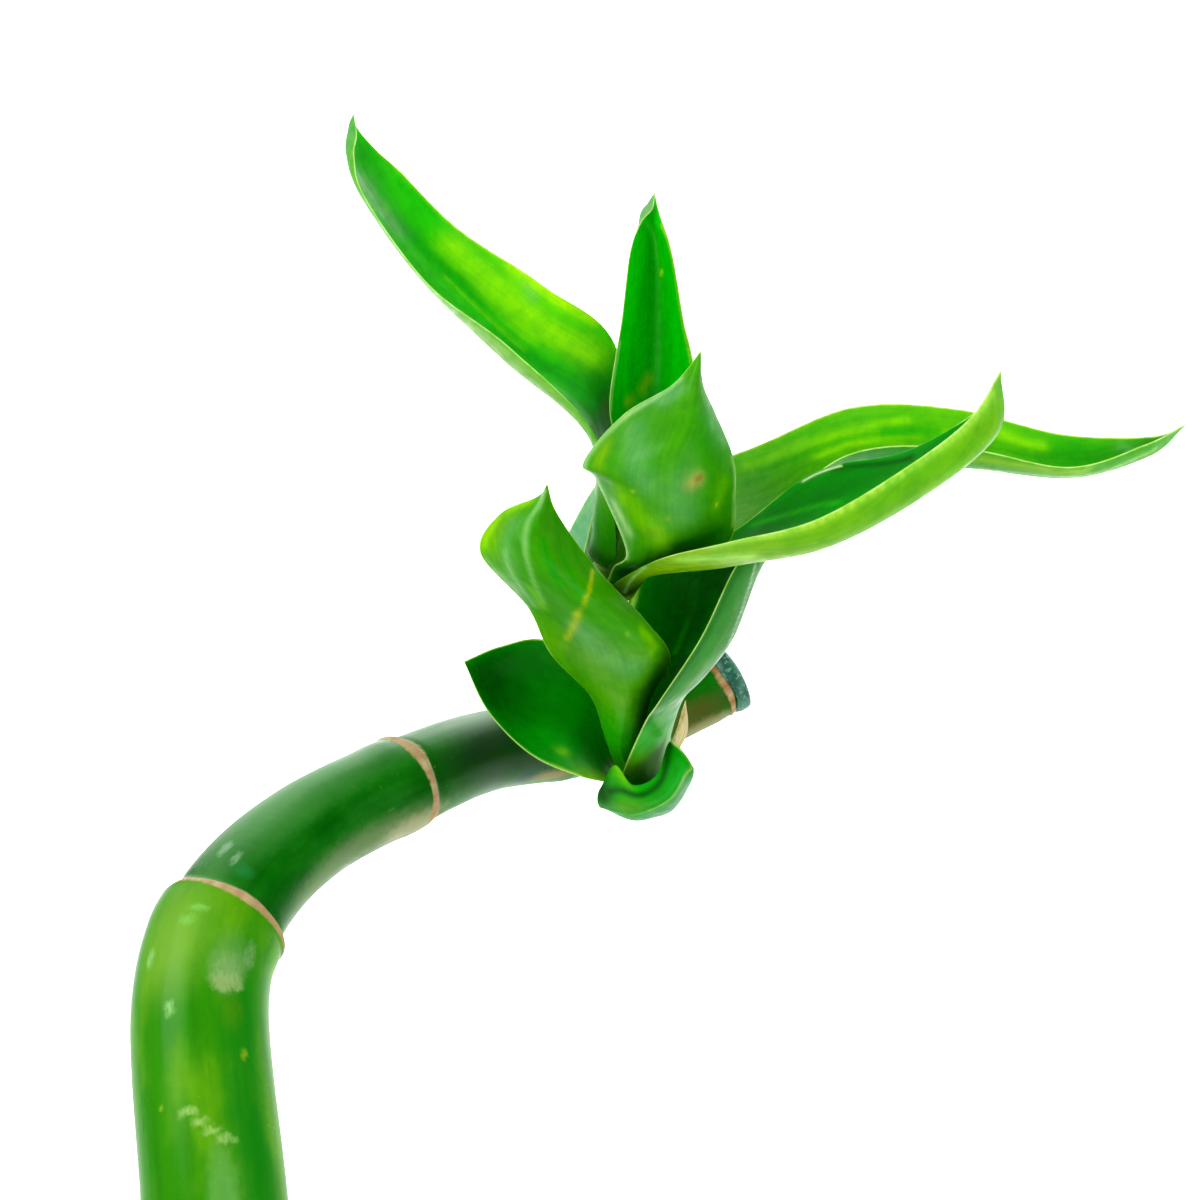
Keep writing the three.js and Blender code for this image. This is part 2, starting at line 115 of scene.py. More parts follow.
def outward(points, faces):
    """True if the faces point outwards: the sum of the small pyramids from the origin to each face,
    taken as a fan of triangles, is positive."""
    volume = 0.0
    for size in {len(face) for face in faces}:
        corners = points[np.array([face for face in faces if len(face) == size])]
        for second in range(1, size - 1):
            a, b, c = corners[:, 0], corners[:, second], corners[:, second + 1]
            volume += np.einsum("ij,ij->", a, np.cross(b, c))
    return volume > 0


# %% [markdown]
# A finish can read more than places. Each point may carry named values of its own, such as a colour or
# the distance to an edge, and the mesh keeps them as attributes.

# %% From grids to a piece
def flattened(grid, ends):
    """The values of a grid in one list, and for fan ends the mean of its first and its last row."""
    parts = [grid.reshape((-1,) + grid.shape[2:])]
    if ends == "fan":
        parts += [grid[:1].mean(1), grid[-1:].mean(1)]
    return np.concatenate(parts)


def smooth_mesh(name, points, faces, finish):
    """A mesh with smooth shading from points in metres."""
    mesh = bpy.data.meshes.new(name)
    mesh.from_pydata(points.tolist(), [], faces)
    mesh.polygons.foreach_set("use_smooth", np.ones(len(mesh.polygons), bool))
    mesh.materials.append(finish)
    return mesh


def make_piece(name, grids, replaced, finish, values=None, ends="fan"):
    """One mesh of one or more closed grids in millimetres. values gives named numbers, colours or
    vectors for every point of every grid, which the finish reads as attributes."""
    faces = []
    count = 0
    for grid in grids:
        faces += grid_faces(*grid.shape[:2], count, ends)
        count += len(flattened(grid, ends))
    points = np.concatenate([flattened(grid, ends) for grid in grids])
    if not outward(points, faces):
        faces = [face[::-1] for face in faces]
    mesh = smooth_mesh(name, points * MM, faces, finish)
    for key, parts in (values or {}).items():
        spread = [np.broadcast_to(part, grid.shape[:2] + part.shape[2:]) for grid, part in zip(grids, parts)]
        given = np.concatenate([flattened(part, ends) for part in spread])
        kind, field = ("FLOAT", "value") if given.ndim == 1 else ("FLOAT_VECTOR", "vector")
        attribute = mesh.attributes.new(key, kind, "POINT")
        attribute.data.foreach_set(field, given.astype(np.float32).ravel())
    piece = placed(name, mesh)
    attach(piece, "root")
    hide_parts(replaced)
    print(name, "has", len(mesh.polygons), "faces")


# %% [markdown]
# ## Smooth lines
# The cane, the shoot and the blades are drawn through a few known points. A Catmull-Rom curve runs
# through every one of them, so it is easy to steer: move a point, and only its surroundings change.

# %% A line through points
def line_through(points, share):
    """Places on a smooth line: between two points, the Catmull-Rom cubic of the four nearest ones.
    share runs from 0 to 1, with the same step from each point to the next."""
    points = np.asarray(points, float)
    ends = np.vstack([2 * points[0] - points[1], points, 2 * points[-1] - points[-2]])
    place = np.clip(share, 0, 1) * (len(points) - 1)
    index = np.minimum(place.astype(int), len(points) - 2)
    f = (place - index)[:, None]
    a, b, c, d = (ends[index + step] for step in range(4))
    bend = 2 * a - 5 * b + 4 * c - d
    return 0.5 * (2 * b + (c - a) * f + bend * f**2 + (3 * b - a - 3 * c + d) * f**3)


def lengths_along(points):
    """The distance along a line from its first point to each of its points."""
    return np.concatenate([[0], np.cumsum(np.linalg.norm(np.diff(points, axis=0), axis=1))])


def unit(vectors):
    """Each vector divided by its length."""
    return vectors / np.maximum(np.linalg.norm(vectors, axis=-1, keepdims=True), 1e-9)


# %% [markdown]
# A pipe is a row of rings round such a line. The same rings round a straight upright line give a spun
# piece such as the vase, and also the place that each point of a bent pipe would have if it were
# straight.

# %% Rings round a line
def round_angles(count):
    """Angles at even steps round a full turn."""
    return np.linspace(0, 2 * np.pi, count, endpoint=False)


def sections_along(centres):
    """Two axes square to a line at each of its points. The first one starts near +X, is carried on
    from point to point and made square to the line again, so the sections never twist."""
    along = unit(np.gradient(centres, axis=0))
    across = np.zeros_like(centres)
    carried = np.array([1.0, 0, 0])
    for index, direction in enumerate(along):
        carried = carried - direction * (carried @ direction)
        carried /= np.linalg.norm(carried)
        across[index] = carried
    return across, np.cross(along, across)


def pipe(centres, radius, angles):
    """Rings round a line: centre + radius * (cos(angle) * first axis + sin(angle) * second axis).
    radius has one value for each row and column."""
    first, second = sections_along(centres)
    turn = angles[None, :, None]
    ring = np.cos(turn) * first[:, None] + np.sin(turn) * second[:, None]
    return centres[:, None] + radius[..., None] * ring


def upright_pipe(radius, height, angles):
    """Rings round the Z axis: (radius * cos(angle), radius * sin(angle), height)."""
    places = np.broadcast_arrays(radius * np.cos(angles), radius * np.sin(angles), height)
    return np.stack(places, -1)


# %% [markdown]
# Two curves shape nearly every detail: a bell curve for what stands up or sinks in at one place, and
# an S-shaped step for what begins or ends.

# %% Bell and step
def bell(value, width):
    """exp(-(value / width)^2), which is 1 at the middle and falls away on both sides."""
    return np.exp(-(value / width) ** 2)


def smoothstep(low, high, value):
    """0 below low, 1 above high, and between them the S-shaped 3t^2 - 2t^3."""
    t = np.clip((value - low) / (high - low), 0, 1)
    return t * t * (3 - 2 * t)


print("a bell of width 1 at 0, 1 and 2:", np.round(bell(np.arange(3), 1), 2).tolist())

# %% [markdown]
# ## Finishes from nodes
# A finish is a small network of shader nodes. Writing one means saying again and again: make this
# node, link that socket. The class below does it in one call, so that a finish reads like a recipe.

# %% A finish as a recipe
class Finish:
    """A material that is built step by step. Each step gives a socket that later steps can read.
    Colours are such sockets, or red, green and blue from 0 to 1."""

    def __init__(self, name, **shader):
        self.material = bpy.data.materials.new(name)
        self.material.use_nodes = True
        self.tree = self.material.node_tree
        self.shader = self.tree.nodes["Principled BSDF"]
        self.surface(**shader)

    def set(self, target, inputs):
        """Links a socket, or writes a plain value into the input."""
        for key, value in inputs.items():
            if isinstance(value, bpy.types.NodeSocket):
                self.tree.links.new(value, target.inputs[key])
            else:
                target.inputs[key].default_value = value

    def surface(self, **shader):
        """Inputs of the surface shader, by their names in small letters with underscores."""
        self.set(self.shader, {key.replace("_", " ").title().replace("Ior", "IOR"): value
                               for key, value in shader.items()})

    def node(self, kind, inputs, output=0, **settings):
        """A new node with its settings and inputs. It gives one of the node's outputs."""
        made = self.tree.nodes.new("ShaderNode" + kind)
        for key, value in settings.items():
            setattr(made, key, value)
        self.set(made, inputs)
        return made.outputs[output]

    def attribute(self, name, output="Fac"):
        return self.node("Attribute", {}, output, attribute_name=name)

    def place(self, stretch=(1, 1, 1), of=None, move=(0, 0, 0)):
        """Object coordinates, or another vector, stretched along each axis."""
        source = of or self.node("TexCoord", {}, "Object")
        return self.node("Mapping", {"Vector": source, "Scale": stretch, "Location": move})

    def noise(self, at, scale, detail=3, rough=0.5, twist=0, output=0):
        inputs = {"Vector": at, "Scale": scale, "Detail": detail, "Roughness": rough, "Distortion": twist}
        return self.node("TexNoise", inputs, output)

    def step(self, value, low, high, to_low=0, to_high=1):
        """Smoothly from to_low where value is at low to to_high where it is at high."""
        inputs = {"Value": value, "From Min": low, "From Max": high, "To Min": to_low, "To Max": to_high}
        return self.node("MapRange", inputs, interpolation_type="SMOOTHSTEP")

    def math(self, operation, a, b):
        return self.node("Math", {0: a, 1: b}, operation=operation)

    def plus(self, a, b):
        return self.math("ADD", a, b)

    def times(self, a, b):
        return self.math("MULTIPLY", a, b)

    def mix(self, share, a, b, way="MIX"):
        """Colour a, with the given share of colour b mixed in."""
        first, second = ((*colour, 1) if isinstance(colour, tuple) else colour for colour in (a, b))
        return self.node("Mix", {0: share, 6: first, 7: second}, 2, data_type="RGBA", blend_type=way)

    def blend(self, value, low, high, a, b):
        """Smoothly from colour a where value is at low to colour b where it is at high."""
        return self.mix(self.step(value, low, high), a, b)

    def tinted(self, colour, value, low, high, a, b):
        """A colour multiplied by a blend of two others."""
        return self.mix(1, colour, self.blend(value, low, high, a, b), "MULTIPLY")

    def torn(self, at, scale, reach):
        """The vector at, pushed about by noise by up to half of reach in millimetres."""
        cloud = self.noise(at, scale, 5, 0.65, output="Color")
        push = self.node("VectorMath", {0: cloud, 1: (0.5, 0.5, 0.5)}, operation="SUBTRACT")
        push = self.node("VectorMath", {0: push, "Scale": reach * MM}, operation="SCALE")
        return self.node("VectorMath", {0: at, 1: push}, operation="ADD")

    def blot(self, at, centre, size, soft):
        """1 inside an oval round centre, in millimetres on the vector at, and 0 outside."""
        scale = [1 / (value * MM) for value in size]
        move = [-c / s for c, s in zip(centre, size)]
        length = self.node("VectorMath", {0: self.place(scale, at, move)}, "Value", operation="LENGTH")
        return self.step(length, 1 - soft, 1 + soft, 1, 0)

    def bump(self, height, distance, strength):
        """Small relief: distance is the height's full depth in millimetres."""
        inputs = {"Height": height, "Distance": distance * MM, "Strength": strength}
        self.set(self.shader, {"Normal": self.node("Bump", inputs)})


WHITE = (1, 1, 1)

# %% [markdown]
# ## Green finishes
# A leaf is a thin, waxy sheet that lets light through, so its finish has some scattering below the
# surface. Its colour changes slowly over the blade, which the blade's own `tint` attribute says, and
# quickly across it, in the fine lengthwise streaks of its veins. The tint also carries painted sheen,
# highlights and shade. A pale line follows the margins.

# %% Leaf finish
def leaf_finish():
    finish = Finish("leaf_green", roughness=0.36, subsurface_weight=0.25, subsurface_scale=0.002,
                    subsurface_radius=(0.6, 1.0, 0.15), specular_ior_level=0.1)
    flat = finish.attribute("flat", "Vector")
    streaks = finish.noise(finish.place((1, 0.05, 1), flat), 1500, 3, 0.6)
    bands = finish.noise(finish.place((1, 0.12, 1), flat), 260, 2)
    mottle = finish.noise(flat, 420, 4, 0.55)
    grain = finish.noise(flat, 1700, 2)
    colour = finish.attribute("tint", "Color")
    colour = finish.tinted(colour, streaks, 0.35, 0.7, WHITE, (0.8, 0.92, 0.85))
    colour = finish.tinted(colour, bands, 0.4, 0.75, (0.93, 0.96, 0.95), (1.25, 1.08, 1))
    colour = finish.tinted(colour, mottle, 0.35, 0.7, (1.08, 1.04, 1), (0.82, 0.92, 0.9))
    colour = finish.tinted(colour, grain, 0.64, 0.74, WHITE, (1.3, 1.12, 1))
    rim = finish.blend(mottle, 0.4, 0.65, (0.5, 0.72, 0.25), (0.3, 0.55, 0.05))
    colour = finish.mix(finish.step(finish.attribute("edge"), 0.1, 0.42, 0.8, 0), colour, rim)
    finish.surface(base_color=colour, roughness=finish.step(mottle, 0.3, 0.7, 0.3, 0.44))
    finish.bump(finish.plus(streaks, finish.times(mottle, 0.4)), 0.05, 0.35)
    return finish.material


leaf_green = leaf_finish()
print(leaf_green.name, "has", len(leaf_green.node_tree.nodes), "nodes")

# %% [markdown]
# The cane's bark is smooth, green and half glossy, with the growth's lengthwise streaks. The cane is
# bent, so the pattern can't follow the room's axes. Each point of it carries the place that it would
# have on the straight cane, and the noise reads that. Corky rings mark the joints, and old bark has
# scuffs and flecks. Some of the marks are painted light instead: painted shade down the lower cane's
# right side and on the segment under the shoot, a painted highlight on the lower cane, and painted
# sheen along the bent segment. Small marks are scratched and large ones are whole.

# %% Cane finish
# middle and half size on the straight cane in millimetres, colour, share, softness of its edge
CANE_MARKS_AND_PAINTED_LIGHT = [
    # painted shade: the lower cane's right side, away from the key lamp, darker
    ((8.4, -6.4, 232), (3.6, 3.6, 24), (0.0, 0.2, 0.002), 0.7, 0.5),
    # painted highlight on the lit front of the lower cane
    ((-2, -9.8, 254), (5, 4, 7), (0.2, 0.4, 0.04), 0.7, 0.8),
    ((6.6, -8, 250.6), (3, 2.6, 4.4), (0.1, 0.29, 0.06), 0.6, 0.45),
    ((6.5, -8.1, 247.4), (2.9, 2.3, 1.5), (0.27, 0.38, 0.13), 0.85, 0.35),
    ((6.5, -8.1, 249.2), (2.9, 2.4, 2.8), (0.24, 0.38, 0.15), 0.6, 0.5),
    ((8.8, -5.6, 252.5), (1, 1.3, 2.2), (0.2, 0.35, 0.14), 0.6, 0.5),
    ((7.4, -7.7, 242.8), (1.9, 1.6, 2.6), (0.12, 0.25, 0.0), 0.35, 0.8),
    ((8.2, -6.4, 236.6), (0.6, 0.6, 0.8), (0.4, 0.5, 0.03), 0.45, 0.7),
    ((0.4, -10.4, 229.4), (1.3, 0.8, 0.6), (0.3, 0.5, 0.14), 0.75, 0.6),
    ((1.9, -10.3, 228), (1.3, 0.8, 0.6), (0.3, 0.5, 0.14), 0.75, 0.6),
    ((3.3, -10, 226.6), (1.3, 0.8, 0.6), (0.3, 0.5, 0.14), 0.75, 0.6),
    ((4.7, -9.5, 225.3), (1.1, 0.8, 0.6), (0.3, 0.5, 0.14), 0.75, 0.6),
    ((6, -8.7, 225), (0.7, 0.7, 0.6), (0.25, 0.45, 0.12), 0.6, 0.6),
    ((4, -9.7, 217.5), (2, 1.9, 7), (0.12, 0.34, 0.07), 0.7, 0.5),
    ((-5.6, -8.8, 251.1), (0.7, 0.8, 1.2), (0.24, 0.52, 0.16), 0.8, 0.6),
    ((-1.5, -10.3, 243.9), (0.8, 0.8, 1.1), (0.24, 0.52, 0.16), 0.8, 0.6),
    ((0.8, -10.5, 257.2), (1.6, 0.6, 0.5), (0.2, 0.5, 0.1), 0.7, 0.6),
    ((-0.6, -10.5, 255.6), (1.3, 0.6, 0.7), (0.2, 0.5, 0.1), 0.6, 0.6),
    ((-3.7, -9.8, 230.6), (0.4, 0.4, 0.4), (0.45, 0.55, 0.05), 0.5, 0.6),
    ((10.5, 2.2, 229.4), (0.6, 0.6, 0.7), (0.02, 0.02, 0.02), 1, 0.3),
    ((10.5, 2.2, 223.3), (0.5, 0.5, 0.5), (0.02, 0.02, 0.02), 1, 0.3),
    # painted sheen: the next three marks are pale bands along the top and the underside of the bent segment
    ((-1.8, -8.5, 285), (4.4, 2, 26), (0.1, 0.26, 0.09), 0.75, 0.6),
    ((3.4, -8.1, 286), (2.2, 1.8, 18), (0.04, 0.19, 0.03), 0.6, 0.6),
    ((8.9, 2.5, 290), (1.6, 4, 24), (0.15, 0.23, 0.09), 0.75, 0.5),
    ((8.2, 3.8, 304), (2, 3, 7), (0.38, 0.36, 0.2), 0.7, 0.6),
    ((3.2, -8.5, 265.7), (1.6, 1.2, 1), (0.02, 0.25, 0.08), 0.4, 0.8),
    ((-1.8, -8.9, 268.3), (0.7, 0.6, 1.6), (0.25, 0.4, 0.25), 0.7, 0.5),
    ((1.1, -9, 267), (0.6, 0.5, 1.2), (0.25, 0.4, 0.25), 0.6, 0.5),
    # painted shade on the segment under the shoot, then a faint painted sheen along its top
    ((6, -3, 335), (5, 6, 26), (0.0, 0.035, 0.0), 0.85, 0.5),
    ((-2.5, -7.4, 333), (2.2, 1.4, 22), (0.02, 0.15, 0.03), 0.2, 0.6),
    ((6.8, 3.7, 339), (1.6, 1.6, 2.8), (0.0, 0.04, 0.03), 0.8, 0.5),
    ((6.6, 4.2, 349), (1.3, 1.6, 6), (0.3, 0.2, 0.07), 0.7, 0.6),
    ((7, -0.5, 387), (2.6, 3.2, 7), (0.08, 0.08, 0.01), 0.8, 0.6),
    ((6.2, 3.4, 388), (1.8, 1.8, 7), (0.3, 0.25, 0.12), 0.7, 0.6),
    ((5.7, 5.7, 313.9), (1.5, 1.5, 2.5), (0.5, 0.38, 0.24), 0.8, 0.5),
]
SCRATCHED_BELOW = 4


def cane_finish():
    finish = Finish("cane_bark", roughness=0.3, specular_ior_level=0.1, sheen_weight=0.08,
                    sheen_roughness=0.25)
    straight = finish.attribute("straight", "Vector")
    streaks = finish.noise(finish.place((1, 1, 0.06), straight), 420, 4, 0.6)
    clouds = finish.noise(finish.place((1, 1, 0.5), straight), 110, 4, 0.55)
    specks = finish.noise(straight, 1400, 2)
    lower = finish.attribute("lower")
    colour = finish.mix(lower, (0.0, 0.11, 0.0), (0.03, 0.23, 0.0))
    lighter = finish.mix(lower, (0.01, 0.18, 0.004), (0.12, 0.33, 0.003))
    colour = finish.mix(finish.step(clouds, 0.4, 0.7, 0, 0.9), colour, lighter)
    colour = finish.tinted(colour, streaks, 0.4, 0.75, WHITE, (0.6, 0.8, 0.7))
    flecks = finish.times(finish.step(specks, 0.7, 0.76, 0, 0.5), finish.step(clouds, 0.5, 0.65))
    colour = finish.mix(flecks, colour, (0.4, 0.55, 0.15))
    torn = finish.torn(straight, 650, 2.4)
    scratches = finish.noise(finish.place((1, 1, 0.3), straight), 2600, 3, 0.6)
    scratched = finish.step(scratches, 0.3, 0.6, 0.45, 1)
    for centre, size, shade, share, soft in CANE_MARKS_AND_PAINTED_LIGHT:
        mark = finish.times(finish.blot(torn, centre, size, soft), share)
        if max(size) < SCRATCHED_BELOW:
            mark = finish.times(mark, scratched)
        colour = finish.mix(mark, colour, shade)
    frayed = finish.plus(finish.attribute("scar"), finish.times(specks, 0.5))
    scar = finish.times(finish.step(frayed, 0.5, 1.0), finish.step(specks, 0.2, 0.55, 0.8, 1))
    cork = finish.mix(finish.attribute("warmth"), (0.4, 0.28, 0.14), (0.3, 0.13, 0.045))
    cork = finish.mix(finish.step(streaks, 0.3, 0.7), cork, (0.48, 0.38, 0.22))
    rough = finish.plus(finish.step(clouds, 0.3, 0.7, 0.26, 0.4), finish.times(scar, 0.4))
    finish.surface(base_color=finish.mix(scar, colour, cork), roughness=rough)
    finish.bump(finish.plus(streaks, finish.times(scar, specks)), 0.08, 0.35)
    return finish.material


cane_bark = cane_finish()
print(cane_bark.name, "has", len(cane_bark.node_tree.nodes), "nodes")

# %% [markdown]
# ## The cane
# The cane grew upright and was bent while it was young. Its middle line is drawn through sixteen
# points. At each joint it swells a little, carries a corky ring, and goes on slightly thinner, and
# between two joints it has a faint waist. Rows are set close together at the rings and wide apart
# elsewhere.

# %% Middle line and joints of the cane
CANE_LINE = [
    (0, 0, 6.3), (0, 0, 20), (-2, 1, 54), (-6, 3, 98), (-12, 6, 148), (-18, 11, 198),
    (-21.5, 20, 221), (-26.5, 37, 244.5), (-24, 50.5, 255), (-15, 68.5, 261.5), (1, 87, 265.5),
    (13, 106, 265.5), (28, 126, 262.5), (46, 135, 265), (59.5, 139, 271), (61.5, 139.5, 272),
]
# place on the line counted in points, radius below and above, half width of the ring, its warmth
CANE_JOINTS = [
    (0, 10.6, 10.6, 0.8, 0.2), (2, 10.7, 10.7, 0.8, 0.2), (3, 10.8, 10.8, 0.8, 0.2),
    (4, 10.9, 10.9, 0.8, 0.2), (5, 11, 11, 0.8, 0.2), (7.8, 10.4, 9.3, 0.95, 0.3),
    (9.9, 8.8, 8.3, 1.35, 0.35), (12, 7.8, 7.5, 1.1, 0.7), (14, 6.9, 6.8, 1.1, 1.0),
    (15, 6.7, 6.7, 0.1, 1.0),
]
LINE_STEPS = 3000
CANE_ROWS = 330
RING_ROWS = 41
RING_REACH = 4

joint_place, radius_below, radius_above, ring_half, ring_warmth = np.array(CANE_JOINTS).T
line_share = np.linspace(0, 1, LINE_STEPS + 1)
line_mm = lengths_along(line_through(CANE_LINE, line_share))
joint_mm = np.interp(joint_place / (len(CANE_LINE) - 1), line_share, line_mm)
near_rings = joint_mm[1:-1, None] + np.linspace(-RING_REACH, RING_REACH, RING_ROWS)
cane_mm = np.unique(np.concatenate([np.linspace(0, line_mm[-1], CANE_ROWS), near_rings.ravel()]))
cane_mm = cane_mm[cane_mm <= line_mm[-1]]
print("the cane is", round(line_mm[-1]), "mm long, with joints at", np.round(joint_mm).tolist())

# %% [markdown]
# No ring is perfect. Each one lies a little askew, and the bark between them has slow lumps, so that
# the light on it wanders.

# %% Radius of the cane
CANE_COLUMNS = 88
RING_HEIGHT = 0.35
RING_WIDTH = 0.7
WAIST = 0.25
angles = round_angles(CANE_COLUMNS)


def ring_places():
    """The height of each ring along the cane changes with the angle as
    0.7 sin(angle + n) + 0.25 sin(3 angle + 2n) mm, where n is the joint's number. Only the cane's two
    ends are straight."""
    number = np.arange(len(joint_mm))[:, None]
    wave = 0.7 * np.sin(angles + number) + 0.25 * np.sin(3 * angles + 2 * number)
    wave[[0, -1]] = 0
    return joint_mm[:, None] + wave


def cane_radius(mm):
    """Radius at each distance along the cane (rows) and angle (columns): straight from the radius
    above one joint to the radius below the next, less a waist, plus slow lumps and, at each ring, a
    bell-shaped ridge, a soft swelling 3.5 mm below it and a groove 1.6 mm above it. It comes with the
    distance from each ring."""
    from_ring = mm[:, None, None] - ring_places().T
    knots = np.stack([joint_mm - RING_WIDTH, joint_mm + RING_WIDTH], 1).ravel()
    radii = np.interp(mm, knots, np.stack([radius_below, radius_above], 1).ravel())
    part = np.clip(np.searchsorted(joint_mm, mm) - 1, 0, len(joint_mm) - 2)
    share = (mm - joint_mm[part]) / np.diff(joint_mm)[part]
    radii = radii - WAIST * np.sin(np.pi * np.clip(share, 0, 1))
    inner = from_ring[..., 1:-1]
    ridge = RING_HEIGHT * bell(inner, RING_WIDTH)
    swelling = 0.22 * bell(inner + 3.5, 3)
    groove = 0.16 * bell(inner - 1.6, 0.8)
    along = mm[:, None]
    lumps = 0.07 * np.sin(2 * angles + 0.05 * along) + 0.05 * np.sin(3 * angles - 0.11 * along)
    return radii[:, None] + (ridge + swelling - groove).sum(-1) + lumps, from_ring


cane_size, from_ring = cane_radius(cane_mm)
print("radius from", round(cane_size.min(), 2), "to", round(cane_size.max(), 2), "mm")

# %% [markdown]
# The finish reads four values: the place on the straight cane, how corky the bark is, how warm the
# nearest ring's cork is, and where the brighter lower cane ends, which is at its sixth joint.

# %% The cane's surface and what its finish reads
BRIGHT_TO_JOINT = 5
BRIGHT_FADE = 1.5

cane_centres = line_through(CANE_LINE, np.interp(cane_mm, line_mm, line_share))
cane_grid = pipe(cane_centres, cane_size, angles)
uneven = 1 + 0.38 * np.sin(3 * angles[:, None] + 2 * np.arange(len(ring_half)))
bands = np.exp(-(np.abs(from_ring) / (ring_half * uneven)) ** 3)
bands[..., 0] = 0
make_piece("stalk", [cane_grid], "stalk", cane_bark, {
    "straight": [upright_pipe(cane_size, cane_mm[:, None], angles) * MM],
    "scar": [bands.max(-1)],
    "warmth": [ring_warmth[np.abs(from_ring).argmin(-1)]],
    "lower": [smoothstep(BRIGHT_FADE, -BRIGHT_FADE, from_ring[..., BRIGHT_TO_JOINT])],
})

# %% [markdown]
# ## The wax on the cut end
# The cut end was dipped in blue-green wax, which keeps it from drying out. It is a short cap, rounded
# at its edge, with the uneven rim that a dip leaves. It is made as a pipe whose radius shrinks to
# nothing at the end.

# %% Wax finish and cap
WAX_RADIUS = 7.4
WAX_LENGTH = 3.3
WAX_DOME = 0.55


def wax_finish():
    finish = Finish("teal_wax", roughness=0.42, specular_ior_level=0.4, subsurface_weight=0.1,
                    subsurface_scale=0.002)
    place = finish.place()
    cloud = finish.noise(place, 260)
    grain = finish.noise(place, 1300)
    colour = finish.blend(cloud, 0.35, 0.65, (0.005, 0.085, 0.055), (0.05, 0.2, 0.13))
    colour = finish.mix(finish.step(grain, 0.52, 0.68, 0, 0.6), colour, (0.25, 0.42, 0.34))
    finish.surface(base_color=colour, roughness=finish.step(cloud, 0.3, 0.7, 0.34, 0.5))
    finish.bump(finish.plus(cloud, finish.times(grain, 0.3)), 0.25, 0.5)
    return finish.material


def wax_cap():
    """A dome on the cane's end: the radius stays nearly full up to the dome's share of the length and
    then follows a quarter of an oval to the middle. The rim starts 0.5 to 1.3 mm back along the cane,
    in waves."""
    along = unit(cane_centres[-1] - cane_centres[-2])
    quarter = np.sin(np.linspace(0.1, 1, 18) * np.pi / 2)
    rise = np.concatenate([np.linspace(0, WAX_DOME, 14), WAX_DOME + (1 - WAX_DOME) * quarter])[:, None]
    over = np.clip((rise - WAX_DOME) / (1 - WAX_DOME), 0, 1)
    radius = WAX_RADIUS * np.sqrt(np.clip(1 - over**2, 0, 1)) * (0.955 + 0.045 * smoothstep(0, 0.2, rise))
    lumps = 1 + 0.012 * np.sin(3 * angles) + 0.008 * np.sin(5 * angles + 2)
    back = (0.9 + 0.4 * np.sin(3 * angles + 1)) * (1 - rise) ** 2
    grid = pipe(cane_centres[-1] + along * rise * WAX_LENGTH, radius * lumps, angles)
    return grid - along * back[..., None]


make_piece("wax_seal", [wax_cap()], "wax_seal", wax_finish())

# %% [markdown]
# ## Places picked on the photograph
# The shoot and the leaves were drawn over the photograph. Each point of their lines is a place in the
# picture and an estimated distance, and the camera's own place, tilt and lens turn it into
# millimetres.

# %% From picked places to points
PICK_STEP = 0.5


def picked(places):
    """Points in millimetres from places picked on the photograph, each written as pixels to
    the right, pixels down and the distance before the camera in millimetres. Pixels from the middle
    times distance over the lens's focal pixels give the offsets aside and above, which are then
    turned by the camera's tilt, moved to its place and rounded to half a millimetre."""
    right, down, distance = np.array(places, float).T
    aside = (right - PICTURE_WIDTH / 2) * distance / FOCAL_PIXELS
    above = (PICTURE_WIDTH / 2 - down) * distance / FOCAL_PIXELS
    tilt = math.radians(CAMERA_DOWN)
    forward = above * math.sin(tilt) + distance * math.cos(tilt)
    upward = above * math.cos(tilt) - distance * math.sin(tilt)
    points = np.stack([aside, forward, upward], -1) + CAMERA_PLACE
    return np.round(points / PICK_STEP) * PICK_STEP


print("the picture's middle, 300 mm away:", picked([(PICTURE_WIDTH / 2, PICTURE_WIDTH / 2, 300)])[0])

# %% [markdown]
# ## The side shoot
# A thin green stem leaves the cane's side near its end, lies along it and then turns up. Nearly all of
# it is hidden in the sheaths of its leaves, but from behind it is bare. It has its own small joints.

# %% Shoot stem
# first inside the cane, in millimetres, and then as picked
SHOOT_ROOT = [(39, 127, 266.5), (41.5, 95, 265.5)]
SHOOT_PICKS = [
    (641, 783, 297), (633, 745, 288), (614, 695, 281), (601, 645, 275), (599, 595, 270),
    (615, 548, 266), (635, 497, 263), (644, 440, 263),
]
SHOOT_LINE = np.vstack([SHOOT_ROOT, picked(SHOOT_PICKS)])
SHOOT_ROOT_RADIUS = 3.4
SHOOT_TIP_RADIUS = 2.2
SHOOT_ROWS = 260
SHOOT_COLUMNS = 40
TIP_ROWS = 8
# in hundredths of the length
SHOOT_JOINTS = (6, 15, 25, 34, 42, 58, 66, 74, 82, 90)


def shoot_finish():
    finish = Finish("shoot_green", roughness=0.4, specular_ior_level=0.35, subsurface_weight=0.15,
                    subsurface_scale=0.002)
    straight = finish.attribute("straight", "Vector")
    streaks = finish.noise(finish.place((1, 1, 0.08), straight), 900, 3, 0.6)
    cloud = finish.noise(straight, 260)
    colour = finish.blend(streaks, 0.35, 0.7, (0.09, 0.33, 0.02), (0.2, 0.46, 0.05))
    colour = finish.mix(finish.step(cloud, 0.5, 0.75, 0, 0.4), colour, (0.3, 0.42, 0.12))
    colour = finish.mix(finish.attribute("scar"), colour, (0.42, 0.36, 0.18))
    finish.surface(base_color=colour, roughness=finish.step(cloud, 0.3, 0.7, 0.33, 0.48))
    finish.bump(streaks, 0.06, 0.5)
    return finish.material


